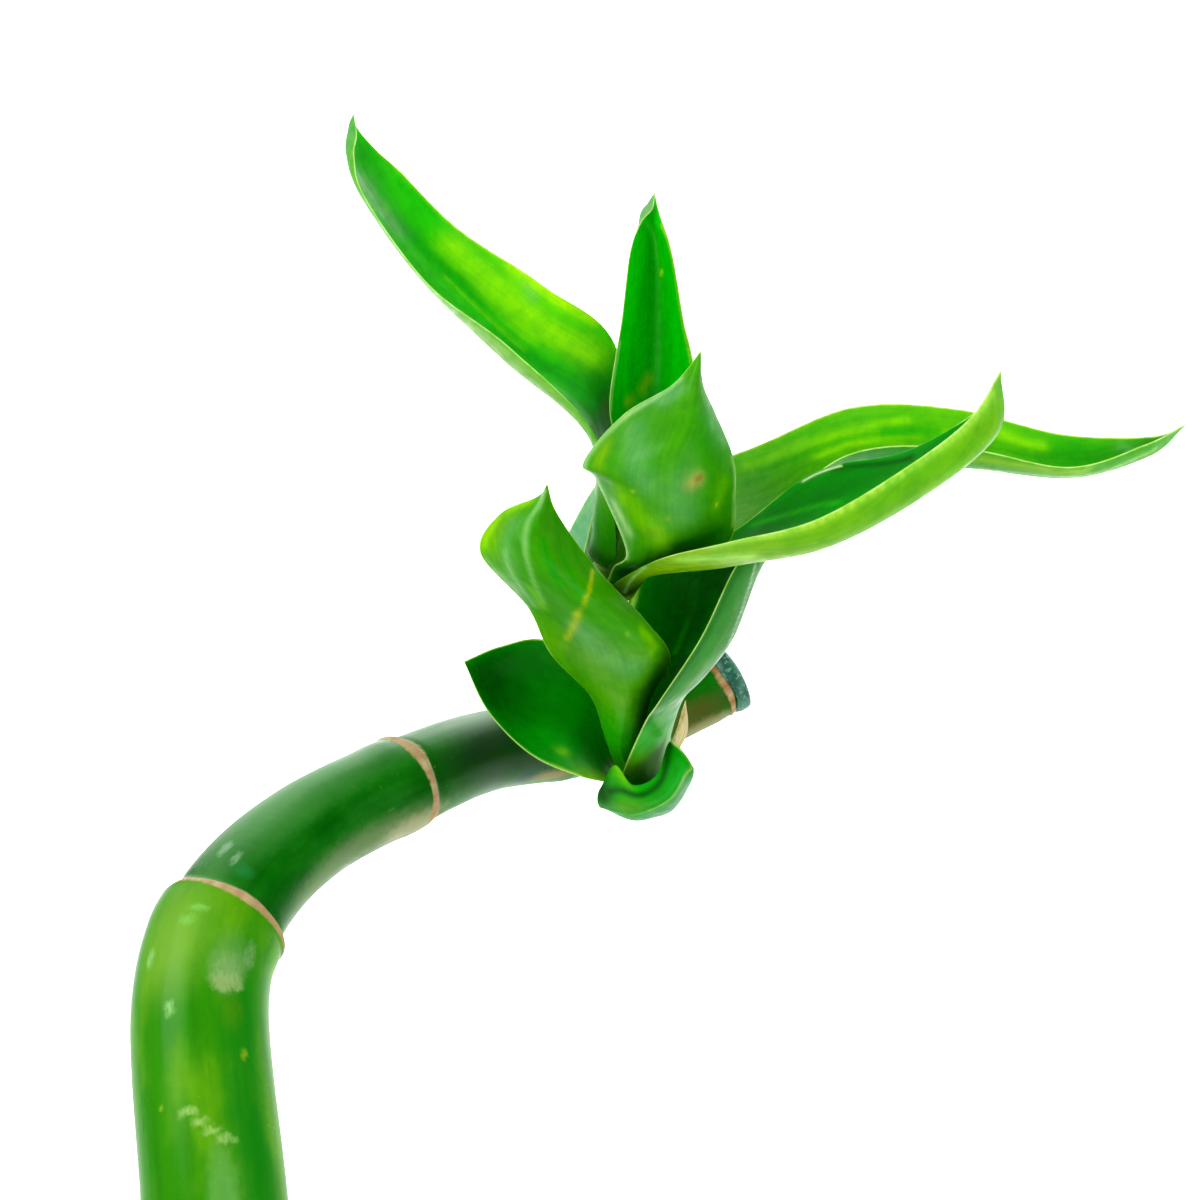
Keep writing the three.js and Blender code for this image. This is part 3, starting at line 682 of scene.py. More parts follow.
def shoot_stem():
    """A pipe that thins evenly from root to tip, with a bell-shaped ridge at each small joint and a
    rounded tip. It comes with the values that its finish reads."""
    share = np.linspace(0, 1, SHOOT_ROWS)
    centres = line_through(SHOOT_LINE, share)
    mm = lengths_along(centres)
    from_joint = mm[:, None] - np.array(SHOOT_JOINTS) * mm[-1] / 100
    size = SHOOT_ROOT_RADIUS + (SHOOT_TIP_RADIUS - SHOOT_ROOT_RADIUS) * share
    size = size + (0.16 * bell(from_joint, 0.7)).sum(1) - 0.08
    size[-TIP_ROWS:] *= np.sqrt(1 - np.linspace(0.1, 0.98, TIP_ROWS) ** 2)
    around = round_angles(SHOOT_COLUMNS)
    size = size[:, None] + 0 * around
    straight = upright_pipe(size, mm[:, None], around)
    scar = 0.8 * bell(np.abs(from_joint).min(1), 0.35)
    return pipe(centres, size, around), {"straight": [straight * MM], "scar": [scar[:, None]]}


shoot_grid, shoot_values = shoot_stem()
make_piece("shoot_stem", [shoot_grid], "shoot_stem", shoot_finish(), shoot_values)

# %% [markdown]
# ## The blades
# A leaf of lucky bamboo starts as a sheath that hugs the shoot and opens into a long arched blade.
# Each one here is spanned between three lines, the left margin, the fold and the right margin, as seen
# on the inner face with the tip up. The lines begin at the sheath's two places on the shoot.

# %% The blade as a sheet
def round_shoot(place, degrees, radius):
    """Points round the shoot's line, square to it: 0 degrees is +X and 90 is +Y."""
    low, middle, high = line_through(SHOOT_LINE, place + np.array([-1e-4, 0, 1e-4]))
    along = unit(high - low)
    turn = np.radians(np.atleast_1d(degrees))
    out = np.stack([np.cos(turn), np.sin(turn), 0 * turn], -1)
    return middle + unit(out - (out @ along)[:, None] * along) * radius


def arch(left, middle, right, share):
    """The parabola through a left, a middle and a right point, for a share from 0 to 1 across."""
    return (left * (2 * share - 1) * (share - 1) + middle * 4 * share * (1 - share)
            + right * share * (2 * share - 1))


def blade_sheet(leaf, u, v):
    """The blade as a sheet: arches between its three lines. Near the root each arch is pulled onto
    the arc of a circle round the shoot, by a share that fades to nothing where the sheath ends."""
    lines = [picked([*leaf[side], leaf["tip"]]) for side in ("left", "fold", "right")]
    root = leaf.get("root")
    if root:
        start, opening, side, half, radius, open_radius = root
        for index, turn in enumerate((1, 0, -1)):
            foot = round_shoot(start, side + turn * half, radius)
            mouth = round_shoot(opening, side + turn * half, open_radius)
            lines[index] = np.vstack([foot, mouth, lines[index]])
    left, fold, right = (line_through(line, u)[:, None] for line in lines)
    sheet = arch(left, fold, right, v[None, :, None])
    if root:
        sheath_end = 3 / (len(lines[0]) - 1)
        hold = smoothstep(0, 1, 1 - u / sheath_end)[:, None, None]
        ring = round_shoot(start, side + (1 - 2 * v) * half, radius)
        sheet = sheet + hold * (ring - arch(lines[0][0], lines[1][0], lines[2][0], v[:, None]))[None]
    return sheet


print("a blade is a function of the way along it and the way across it")

# %% [markdown]
# The sheet gets a real thickness as a stocking that is pressed flat: its columns run across the inner
# face and back across the outer one, with rounded margins. A shallow groove marks the midrib inside
# and a low keel marks it outside.

# %% From sheet to blade
BLADE_ROWS = 200
BLADE_COLUMNS = 112
BLADE_END = 0.997
NORMAL_STEPS = 40
RIB_THICKNESS = 0.6
MARGIN_THICKNESS = 0.34
GROOVE_DEPTH = 0.06
KEEL_HEIGHT = 0.14
RIB_WIDTH = 0.025
PLEAT_HEIGHT = 0.015
PLEAT_COUNT = 9


def sampled(samples, v):
    """The value at each v, read from samples at even steps across: straight from one to the next."""
    steps = samples.shape[1] - 1
    index = np.minimum((v * steps).astype(int), steps - 1)
    part = (v * steps - index).reshape((-1,) + (1,) * (samples.ndim - 2))
    return samples[:, index] * (1 - part) + samples[:, index + 1] * part


def blade_skin(leaf):
    """The closed skin of a blade. Round the section the way across is (1 - cos(turn)) / 2, and the
    distance from the sheet is half the thickness times a flattened sine of the same turn. Pleats, the
    groove and the keel are added along the sheet's normal."""
    u = BLADE_END * np.linspace(0, 1, BLADE_ROWS) ** 0.94
    turn = round_angles(BLADE_COLUMNS)
    v = (1 - np.cos(turn)) / 2
    sheet = blade_sheet(leaf, u, np.linspace(0, 1, NORMAL_STEPS + 1))
    normal = unit(np.cross(np.gradient(sheet, axis=1), np.gradient(sheet, axis=0)))
    normal = unit(sampled(normal, v))
    middle = 4 * v * (1 - v)
    taper = (0.35 + 0.65 * smoothstep(1, 0.86, u / BLADE_END))[:, None]
    half = 0.5 * (MARGIN_THICKNESS + (RIB_THICKNESS - MARGIN_THICKNESS) * middle) * taper
    wave = np.sin(turn)
    rib = bell(v - 0.5, RIB_WIDTH) * smoothstep(1, 0.4, u)[:, None]
    pleats = PLEAT_HEIGHT * np.sin(2 * np.pi * PLEAT_COUNT * v) * middle * smoothstep(0, 0.25, u)[:, None]
    offset = half * np.sign(wave) * np.abs(wave) ** 0.45 + pleats * taper
    offset = offset - np.where(wave > 0, GROOVE_DEPTH, KEEL_HEIGHT) * rib
    return blade_sheet(leaf, u, v) + offset[..., None] * normal, u, v, wave > 0


# %% [markdown]
# The slow changes of colour are laid down in numpy. Each leaf has a colour for its inner and its outer
# face, and a list of soft patches and lines. A patch has its colour, its place along and across the
# blade, its two half lengths, how strongly it shows and its face. A line has its colour, its width in
# millimetres, how strongly it shows, its face and its places along and across. Not all of them are the
# leaf's own colour: the sheen colour is painted sheen, and a few patches and lines are painted
# highlights, a painted glossy rim, a painted glimpse of the bright backdrop, painted shade in creases
# and painted light on shaded feet.

# %% Colours of the blades
# sheen stands for painted sheen; deep, white, pale and bright also serve for some painted shade and
# highlights
GREENS = {
    "deep": (0.0, 0.035, 0.0), "dark": (0.0, 0.09, 0.0), "mid": (0.0, 0.18, 0.0),
    "grass": (0.0, 0.25, 0.0), "moss": (0.01, 0.18, 0.0), "gold": (0.55, 0.55, 0.01),
    "vivid": (0.0, 0.4, 0.0), "leafy": (0.05, 0.29, 0.0), "spring": (0.085, 0.37, 0.0),
    "green": (0.0, 0.31, 0.0), "bright": (0.02, 0.42, 0.0), "fresh": (0.035, 0.36, 0.0),
    "yellow": (0.23, 0.56, 0.0), "lime": (0.19, 0.39, 0.0), "olive": (0.15, 0.33, 0.0),
    "blue": (0.002, 0.15, 0.03), "teal": (0.02, 0.25, 0.12), "sheen": (0.12, 0.36, 0.1),
    "pale": (0.32, 0.58, 0.22), "paler": (0.34, 0.66, 0.09), "white": (0.75, 0.85, 0.7),
    "lemon": (0.7, 0.75, 0.05), "straw": (0.5, 0.42, 0.1), "brown": (0.22, 0.1, 0.01),
}
LINE_MARK_POINTS = 40


def patch_mark(u, v, u0, v0, half_u, half_v):
    """A soft patch: exp(-(du / half length)^2 - (dv / half width)^2) of the distance to its middle."""
    return np.exp(-((u[:, None] - u0) / half_u) ** 2 - ((v - v0) / half_v) ** 2)


def line_mark(leaf, grid, places, width):
    """A mark along a line of (u, v) places: the bell curve of each point's distance to the nearest
    of many points of that line."""
    places = line_through(places, np.linspace(0, 1, LINE_MARK_POINTS))
    line = np.array([blade_sheet(leaf, place[:1], place[1:])[0, 0] for place in places])
    return bell(np.linalg.norm(grid[:, :, None] - line, axis=-1).min(-1), width)


def painted(leaf, grid, u, v, inner):
    """The colour at each point: the face's own colour, mixed with each patch and then with each line
    by its mark, on the face that it names or on both."""
    colour = np.where(inner[:, None], GREENS[leaf["inner"]], GREENS[leaf["outer"]]) + 0 * grid
    layers = [(name, share, side, patch_mark(u, v, *place))
              for name, *place, share, side in leaf.get("patches", ())]
    layers += [(name, share, side, line_mark(leaf, grid, places, width))
               for name, width, share, side, places in leaf.get("lines", ())]
    for name, share, side, mark in layers:
        mark = mark * share * ((side == "both") | (inner == (side == "inner")))
        colour += mark[..., None] * (np.array(GREENS[name]) - colour)
    return colour


print(len(GREENS), "colours have names")

# %% [markdown]
# ## The leaves of the shoot
# Eleven pieces sit on the shoot: nine blades, a short sheath at its foot and one dry brown scale. The
# list gives their lines and tips as picked places. A root has the sheath's start and opening as shares
# of the shoot, the direction it faces and half its spread in degrees, and its radius at both places.

# %% The list of leaves
LEAVES = {
    "leaf_upper_left": {
        "root": (0.75, 0.81, 180, 83, 3.8, 4.5),
        "left": [
            (596, 437, 257), (511, 350, 261), (430, 286, 267), (364, 198, 273), (355, 158, 278),
            (358, 134, 280.5),
        ],
        "fold": [
            (590, 420, 266), (508, 353, 274), (428, 270, 279), (367, 188, 281), (348, 150, 282),
            (350, 128, 283),
        ],
        "right": [
            (618, 352, 278), (545, 285, 281), (460, 229, 284), (402, 172, 288), (376, 151, 287.5),
            (359, 129, 285.5),
        ],
        "tip": (354.5, 112, 284), "inner": "bright", "outer": "spring",
        "bare": [(0.1, 0.5, 0.13, 1)],
        "patches": [
            ("mid", 0.24, 0.75, 0.055, 0.4, 0.85, "inner"),
            ("green", 0.72, 0.5, 0.08, 0.6, 0.5, "inner"),
            ("sheen", 0.85, 0.3, 0.2, 0.6, 0.9, "outer"),
            ("sheen", 0.45, 0.42, 0.25, 0.14, 0.75, "outer"),
            ("deep", 0.04, 0.5, 0.06, 1, 0.9, "outer"),
            ("mid", 0.13, 0.5, 0.1, 1, 0.85, "outer"),
            ("lime", 0.36, 0.2, 0.14, 0.2, 0.6, "outer"),
        ],
        "lines": [
            ("yellow", 3.2, 0.9, "inner",
             [(0.49, 0.88), (0.45, 0.87), (0.4, 0.85), (0.34, 0.83), (0.285, 0.85)]),
            ("green", 1.5, 0.9, "inner",
             [(0.56, 0.62), (0.48, 0.67), (0.44, 0.67), (0.38, 0.62), (0.32, 0.6), (0.26, 0.6)]),
            ("yellow", 1.3, 0.45, "inner", [(0.44, 0.78), (0.4, 0.76), (0.36, 0.74)]),
            ("green", 1.3, 0.5, "inner", [(0.6, 0.93), (0.5, 0.97), (0.42, 0.96)]),
            ("sheen", 2.3, 0.8, "inner", [(0.64, 0.5), (0.6, 0.5), (0.56, 0.5)]),
            ("yellow", 0.45, 0.6, "inner", [(0.48, 0.6), (0.42, 0.62), (0.36, 0.62)]),
            ("sheen", 1.1, 0.6, "inner", [(0.395, 0.97), (0.38, 0.93)]),
            ("lemon", 0.3, 0.9, "inner", [(0.345, 0.985), (0.34, 0.97)]),
            ("yellow", 1.3, 0.9, "inner", [(0.42, 0.99), (0.35, 0.98), (0.3, 0.99)]),
            ("olive", 0.4, 0.7, "inner", [(0.74, 0.99), (0.6, 0.99), (0.42, 0.99)]),
            ("brown", 0.6, 0.8, "inner", [(0.236, 0.73), (0.228, 0.75)]),
        ],
    },
    "leaf_top": {
        "root": (0.91, 0.97, 85, 75, 3.2, 3.4),
        "left": [
            (609, 408, 262), (622, 320, 268), (629, 250, 276), (642, 222, 281.5), (653, 210, 284.5),
        ],
        "fold": [(648, 405, 272), (653, 320, 278), (654, 247, 284), (645, 214, 285.5), (649, 203, 287)],
        "right": [(694, 385, 265), (683, 315, 271), (673, 253, 278), (661, 219, 285), (657, 206, 287)],
        "tip": (655, 191, 288.5), "inner": "vivid", "outer": "sheen",
        "patches": [
            ("mid", 0.26, 0.5, 0.05, 0.5, 0.6, "inner"),
        ],
        "lines": [
            ("green", 1.2, 0.7, "inner", [(0.48, 0.24), (0.43, 0.2), (0.37, 0.19), (0.3, 0.26)]),
            ("green", 0.6, 0.4, "inner", [(0.6, 0.4), (0.46, 0.4), (0.35, 0.45)]),
            ("bright", 0.7, 0.6, "inner", [(0.64, 0.6), (0.48, 0.62), (0.35, 0.6)]),
            ("straw", 0.35, 0.6, "inner", [(0.67, 0.97), (0.5, 0.975), (0.34, 0.975)]),
            ("pale", 0.35, 0.8, "inner", [(0.39, 0.02), (0.34, 0.02), (0.28, 0.02)]),
            ("lemon", 0.35, 0.9, "inner", [(0.515, 0.68), (0.51, 0.68)]),
            ("lime", 0.9, 0.8, "inner", [(0.335, 0.46), (0.315, 0.38)]),
            ("lime", 0.8, 0.7, "inner", [(0.305, 0.28), (0.295, 0.2)]),
        ],
    },
    "leaf_upper_front": {
        "root": (0.725, 0.76, 322, 46, 4.1, 4.4),
        "left": [(724, 546, 256), (737, 490, 252), (732, 455, 252), (716, 415, 252), (702, 386, 250)],
        "fold": [(668, 556, 253), (672, 505, 245), (672, 465, 242), (685, 430, 243), (690, 393, 247)],
        "right": [(626, 550, 257), (596, 482, 252), (584, 462, 250), (622, 415, 250), (674, 385, 250)],
        "tip": (701, 351, 248), "inner": "leafy", "outer": "leafy",
        "patches": [
            ("green", 0.7, 0.15, 0.12, 0.25, 0.6, "outer"),
            ("mid", 0.3, 0.3, 0.04, 0.4, 0.5, "outer"),
        ],
        "lines": [
            ("sheen", 2.3, 0.75, "outer", [(0.68, 0.86), (0.62, 0.76), (0.56, 0.71), (0.5, 0.66)]),
            ("sheen", 2.8, 0.65, "outer", [(0.5, 0.42), (0.45, 0.45), (0.41, 0.42)]),
            ("pale", 0.75, 0.8, "outer", [(0.6, 0.99), (0.68, 0.98), (0.78, 0.96), (0.88, 0.95)]),
            ("sheen", 1.5, 0.85, "outer", [(0.8, 0.86), (0.85, 0.8)]),
            ("pale", 0.5, 0.9, "outer", [(0.58, 0.985), (0.45, 0.985), (0.25, 0.985)]),
            # painted highlight: a whitish gloss spot
            ("pale", 1.1, 0.65, "outer", [(0.39, 0.92), (0.34, 0.88)]),
            ("pale", 0.45, 0.8, "outer", [(0.56, 0.02), (0.45, 0.015), (0.35, 0.02)]),
            ("yellow", 2.6, 0.55, "outer", [(0.42, 0.8), (0.37, 0.68), (0.34, 0.6)]),
            ("lime", 1.4, 0.7, "outer", [(0.63, 0.94), (0.57, 0.92)]),
            ("yellow", 1.2, 0.4, "outer", [(0.48, 0.12), (0.42, 0.15)]),
            ("mid", 1.2, 0.7, "outer", [(0.33, 0.45), (0.34, 0.25), (0.35, 0.12)]),
            ("straw", 1.15, 0.85, "outer", [(0.503, 0.37), (0.512, 0.33)]),
            ("brown", 0.6, 0.8, "outer", [(0.513, 0.325), (0.517, 0.31)]),
            ("brown", 0.6, 0.35, "outer", [(0.36, 0.68), (0.355, 0.65)]),
            ("lemon", 0.3, 0.8, "outer", [(0.46, 0.74), (0.457, 0.74)]),
            ("lemon", 0.3, 0.8, "outer", [(0.4, 0.52), (0.397, 0.52)]),
            ("lemon", 0.3, 0.8, "outer", [(0.42, 0.17), (0.417, 0.17)]),
        ],
    },
    "leaf_right": {
        "root": (0.685, 0.72, 345, 66, 5, 5.5),
        "left": [(665, 556, 270), (730, 533, 268), (815, 473, 266), (905, 453, 262), (975, 412, 252)],
        "fold": [(655, 574, 260), (730, 564, 256), (822, 543, 253), (917, 498, 250), (995, 433, 246)],
        "right": [(655, 561, 250), (730, 542, 244), (818, 518, 242), (905, 467, 242), (968, 418, 241)],
        "tip": (999, 370, 241), "inner": "mid", "outer": "lime",
        "bare": [(0.1, 0.5, 0.12, 1), (0.66, 0, 0.09, 0.2)],
        "patches": [
            ("deep", 0.3, 0.5, 0.06, 0.6, 0.8, "inner"),
            ("deep", 0.13, 0.5, 0.13, 1, 0.97, "outer"),
            ("sheen", 0.97, 0.6, 0.06, 0.5, 0.6, "outer"),
            ("fresh", 0.75, 0.8, 0.2, 0.4, 0.45, "outer"),
        ],
        "lines": [
            ("green", 2, 0.6, "inner", [(0.5, 0.25), (0.6, 0.22), (0.72, 0.16)]),
            # painted shade in the fold near the margin
            ("deep", 0.7, 0.8, "inner", [(0.6, 0.015), (0.66, 0.03), (0.72, 0.05)]),
            # painted glimpse of the bright backdrop through a gap between the leaves
            ("white", 0.22, 0.9, "inner", [(0.55, 0.012), (0.58, 0.012), (0.61, 0.01)]),
            ("bright", 0.6, 0.7, "inner", [(0.47, 0.06), (0.52, 0.13), (0.6, 0.19)]),
            ("paler", 0.8, 0.75, "outer", [(0.4, 0.99), (0.55, 0.985), (0.75, 0.98), (0.93, 0.98)]),
            ("paler", 1.3, 0.7, "outer", [(0.345, 0.9), (0.4, 0.85), (0.46, 0.8)]),
            ("olive", 1.2, 0.4, "outer", [(0.5, 0.8), (0.62, 0.76), (0.75, 0.72)]),
            ("sheen", 0.8, 0.75, "outer",
             [(0.42, 0.58), (0.56, 0.6), (0.68, 0.6), (0.8, 0.57), (0.9, 0.62)]),
            ("pale", 0.3, 0.8, "outer", [(0.13, 0.77), (0.2, 0.86), (0.26, 0.97)]),
        ],
    },
    "leaf_far_right": {
        "root": (0.84, 0.9, 30, 56, 4.1, 4.6),
        "left": [(752, 447, 281), (852, 406, 286), (958, 409, 289), (1062, 433, 292), (1150, 436, 293)],
        "fold": [(748, 502, 279), (852, 460, 283), (965, 465, 285), (1070, 475, 288), (1148, 456, 291)],
        "right": [(742, 531, 271), (848, 455, 273), (960, 448, 275), (1068, 467, 279), (1145, 445, 286)],
        "tip": (1188, 423, 295), "inner": "spring", "outer": "leafy",
        "patches": [
            ("blue", 0.9, 0.4, 0.13, 0.6, 0.85, "inner"),
            ("green", 0.72, 0.25, 0.08, 0.4, 0.7, "inner"),
            # painted light: a paler patch near the foot, against the shade that falls there
            ("pale", 0.27, 0.6, 0.05, 0.35, 0.45, "inner"),
            ("sheen", 0.95, 0.6, 0.07, 0.6, 0.8, "outer"),
            ("mid", 0.46, 0.8, 0.1, 0.5, 0.95, "outer"),
        ],
        "lines": [
            ("yellow", 0.9, 0.8, "inner", [(0.28, 0.12), (0.35, 0.14), (0.42, 0.17), (0.5, 0.1)]),
            ("yellow", 0.7, 0.8, "inner", [(0.38, 0.32), (0.45, 0.28), (0.56, 0.16)]),
            ("yellow", 1.2, 0.8, "inner", [(0.6, 0.08), (0.65, 0.13), (0.68, 0.14)]),
            ("green", 1.1, 0.8, "inner", [(0.47, 0.21), (0.5, 0.19), (0.54, 0.18)]),
            ("fresh", 0.5, 0.7, "inner", [(0.3, 0.22), (0.38, 0.24), (0.46, 0.22)]),
            ("fresh", 0.4, 0.6, "inner", [(0.35, 0.06), (0.43, 0.08), (0.52, 0.06)]),
            ("white", 0.4, 0.8, "inner", [(0.38, 0.985), (0.45, 0.985), (0.54, 0.985)]),
            ("white", 0.4, 0.8, "inner", [(0.6, 0.985), (0.75, 0.985), (0.97, 0.985)]),
            ("sheen", 1, 0.7, "inner", [(0.8, 0.12), (0.87, 0.4), (0.93, 0.6)]),
            ("lime", 1.4, 0.9, "outer", [(0.58, 0.9), (0.66, 0.92), (0.74, 0.93)]),
            ("pale", 0.5, 0.8, "outer", [(0.58, 0.68), (0.67, 0.8), (0.76, 0.78), (0.88, 0.8)]),
        ],
    },
    "leaf_back": {
        "root": (0.66, 0.71, 120, 50, 3.7, 4.1),
        "left": [(598, 486, 282), (571, 529, 303)],
        "fold": [(610, 540, 284), (590, 570, 302)],
        "right": [(626, 585, 281), (614, 597, 298)],
        "tip": (545, 585, 325), "inner": "sheen", "outer": "sheen",
        "patches": [
            ("mid", 0.1, 0.5, 0.16, 0.7, 0.9, "both"),
            ("olive", 0.36, 0.35, 0.12, 0.3, 0.7, "both"),
            ("teal", 0.75, 0.2, 0.25, 0.4, 0.6, "both"),
        ],
        "lines": [
            ("pale", 0.3, 0.8, "both", [(0.5, 0.6), (0.3, 0.9), (0.05, 0.95)]),
        ],
    },
    "leaf_lower_right": {
        "root": (0.25, 0.31, 0, 117, 5.4, 5.7),
        "left": [(612, 700, 291), (618, 650, 288), (628, 600, 286), (645, 562, 284), (700, 545, 285)],
        "fold": [(678, 696, 284), (705, 662, 282), (728, 632, 281), (748, 575, 281), (768, 545, 285)],
        "right": [(642, 727, 270), (660, 700, 266), (700, 639, 265), (735, 569, 267), (756, 548, 277)],
        "tip": (785, 515, 287), "inner": "dark", "outer": "moss",
        "bare": [(0.5, 0, 0.2, 0.3)],
        "patches": [
            ("deep", 0.55, 0, 0.2, 0.2, 0.95, "outer"),
            ("deep", 0.5, 0.05, 0.3, 0.14, 0.8, "inner"),
            ("green", 0.2, 0.9, 0.09, 0.35, 0.85, "outer"),
            ("yellow", 0.17, 0.9, 0.04, 0.3, 0.5, "outer"),
        ],
        "lines": [
            ("fresh", 0.35, 0.7, "inner", [(0.67, 0.22), (0.59, 0.225), (0.5, 0.23), (0.43, 0.23)]),
            ("mid", 1.6, 0.7, "inner", [(0.64, 0.36), (0.55, 0.34), (0.45, 0.32)]),
            ("pale", 0.4, 0.9, "inner", [(0.7, 0.02), (0.62, 0.015), (0.5, 0.015)]),
            # painted reflection: the pale glossy rim along the outer face's lower edge
            ("white", 0.4, 0.55, "outer",
             [(0.74, 0.86), (0.68, 0.81), (0.6, 0.78), (0.49, 0.72), (0.38, 0.75), (0.3, 0.8)]),
            ("dark", 0.9, 0.7, "outer", [(0.3, 0.98), (0.5, 0.98), (0.72, 0.97)]),
            ("olive", 0.5, 0.2, "outer", [(0.26, 0.9), (0.4, 0.88), (0.66, 0.86)]),
            ("dark", 0.5, 0.8, "outer", [(0.15, 0.99), (0.148, 0.97)]),
        ],
    },
    "leaf_front": {
        "root": (0.3, 0.37, 250, 60, 3.8, 4),
        "left": [(650, 700, 278), (671, 658, 272), (645, 620, 265), (598, 570, 258), (557, 514, 256)],
        "fold": [(625, 702, 271), (612, 655, 262), (592, 618, 255), (545, 565, 250), (538, 525, 252)],
        "right": [
            (590, 697, 277), (552, 653, 270), (527, 606, 264), (480, 552, 257), (500, 516, 256),
            (537, 496, 254),
        ],
        "tip": (548, 483, 253), "inner": "mid", "outer": "leafy",
        "patches": [
            ("lime", 0.28, 0.55, 0.07, 0.45, 0.35, "outer"),
            # painted light: the outer face's foot brightened against the shade that falls there
            ("bright", 0.14, 0.5, 0.12, 0.8, 1, "outer"),
            ("olive", 0.42, 0.5, 0.06, 0.6, 0.5, "outer"),
            ("mid", 0.33, 0.08, 0.08, 0.16, 0.7, "outer"),
            ("lime", 0.72, 0.95, 0.1, 0.12, 0.6, "outer"),
        ],
        "lines": [
            ("sheen", 2.6, 0.75, "outer", [(0.5, 0.66), (0.45, 0.6), (0.41, 0.5), (0.4, 0.35)]),
            # painted highlight along the crease from the tip
            ("pale", 0.5, 0.7, "outer",
             [(0.97, 0.6), (0.86, 0.77), (0.78, 0.66), (0.7, 0.66), (0.63, 0.73), (0.56, 0.8)]),
            ("sheen", 1.6, 0.6, "outer", [(0.78, 0.84), (0.7, 0.83), (0.62, 0.85), (0.54, 0.88)]),
            # painted highlight streaks on the left lobe
            ("pale", 0.5, 0.6, "outer", [(0.68, 0.84), (0.61, 0.86), (0.52, 0.92)]),
            ("yellow", 0.8, 0.8, "outer", [(0.85, 0.97), (0.74, 0.975), (0.66, 0.97)]),
            ("green", 0.7, 0.75, "outer", [(0.8, 0.4), (0.74, 0.42), (0.66, 0.5)]),
            ("green", 0.6, 0.7, "outer", [(0.76, 0.22), (0.7, 0.3), (0.64, 0.42)]),
            ("gold", 0.38, 0.95, "outer", [(0.71, 0.06), (0.68, 0.19), (0.63, 0.42), (0.57, 0.61)]),
            ("gold", 0.6, 0.75, "outer", [(0.57, 0.6), (0.5, 0.72), (0.45, 0.8)]),
            ("yellow", 1.1, 0.6, "outer", [(0.54, 0.14), (0.5, 0.12), (0.47, 0.14)]),
            ("brown", 0.5, 0.35, "outer", [(0.485, 0.13), (0.475, 0.15)]),
            ("yellow", 0.9, 0.5, "outer", [(0.6, 0.8), (0.54, 0.84)]),
            ("lemon", 0.25, 0.8, "outer", [(0.54, 0.3), (0.53, 0.3)]),
        ],
    },
    "leaf_lower_left": {
        "root": (0.235, 0.28, 180, 49, 5, 5.2),
        "left": [(578, 775, 279), (530, 756, 277), (488, 713, 277)],
        "fold": [(575, 730, 290), (525, 705, 289), (488, 684, 287)],
        "right": [(600, 668, 292), (545, 641, 289), (500, 645, 286)],
        "tip": (463, 660, 281), "inner": "grass", "outer": "mid",
        "patches": [
            ("dark", 0.78, 0.6, 0.22, 0.5, 0.6, "inner"),
            ("dark", 0.45, 0.95, 0.2, 0.25, 0.6, "inner"),
            ("lime", 0.3, 0.05, 0.09, 0.12, 0.8, "inner"),
            ("blue", 0.6, 0.5, 0.4, 0.5, 0.5, "outer"),
        ],
        "lines": [
            ("green", 3, 0.6, "inner", [(0.6, 0.2), (0.5, 0.3), (0.42, 0.3)]),
            ("yellow", 1.1, 0.5, "inner", [(0.455, 0.2), (0.44, 0.22)]),
            ("pale", 0.4, 0.8, "inner", [(0.9, 0.01), (0.7, 0.01), (0.4, 0.01)]),
            ("lime", 0.6, 0.8, "inner", [(0.5, 0.02), (0.4, 0.02), (0.28, 0.03)]),
        ],
    },
    "base_sheath": {
        "left": [(618, 806, 296), (645, 817, 293), (673, 810, 290), (689, 785, 288)],
        "fold": [(600, 804, 288), (632, 813, 284), (668, 797, 281), (687, 768, 281)],
        "right": [(600, 788, 285.5), (616, 764, 280), (634, 786, 279), (657, 775, 278), (670, 740, 282)],
        "tip": (694, 767, 284), "inner": "dark", "outer": "green",
        "bare": [(0.3, 1, 0.35, 0.3)],
        "patches": [
            ("blue", 0.55, 0.2, 0.5, 0.22, 0.85, "outer"),
            ("deep", 0.06, 0.8, 0.08, 0.3, 0.8, "outer"),
            ("yellow", 0.27, 0.98, 0.09, 0.1, 0.7, "outer"),
            ("olive", 0.25, 0.6, 0.12, 0.12, 0.5, "outer"),
        ],
        "lines": [
            # painted shade: the crease along the upper margin, in the shadow of the leaves above
            ("deep", 0.7, 0.85, "outer",
             [(0.13, 0.8), (0.25, 0.8), (0.37, 0.8), (0.51, 0.84), (0.66, 0.92), (0.77, 0.96)]),
            ("lemon", 0.35, 0.7, "outer",
             [(0.8, 0.94), (0.84, 0.65), (0.82, 0.42), (0.66, 0.43), (0.5, 0.46), (0.36, 0.48)]),
        ],
    },
    "dry_scale": {
        "root": (0.1, 0.13, 0, 30, 4.1, 4.3),
        "left": [(686, 735, 309)],
        "fold": [(680, 731, 305)],
        "right": [(676, 733, 304)],
        "tip": (685, 701, 311), "inner": "straw", "outer": "straw",
    },
}
print(len(LEAVES), "leaves in the list")

# %% [markdown]
# Now each leaf gets its skin and what its finish reads: its tint, the distance to its margin in
# millimetres and its flattened place, whose third number keeps the leaves' patterns apart. Where a
# leaf names a bare stretch, its pale margin fades out.

# %% Build the leaves
WIDTH_STEPS = 60
LEAF_APART = 40
FACE_APART = 15
BARE_REACH = 3


def across_sheet(leaf, u, v):
    """Distances in millimetres over the sheet: from the left margin to each point, the whole width of
    each row, and along the fold from the root."""
    sheet = blade_sheet(leaf, u, np.linspace(0, 1, WIDTH_STEPS + 1))
    steps = np.linalg.norm(np.diff(sheet, axis=1), axis=2)
    reach = np.concatenate([np.zeros((len(u), 1)), np.cumsum(steps, axis=1)], 1)
    fold = sheet[:, WIDTH_STEPS // 2]
    return sampled(reach, v), reach[:, -1:], lengths_along(fold)[:, None]


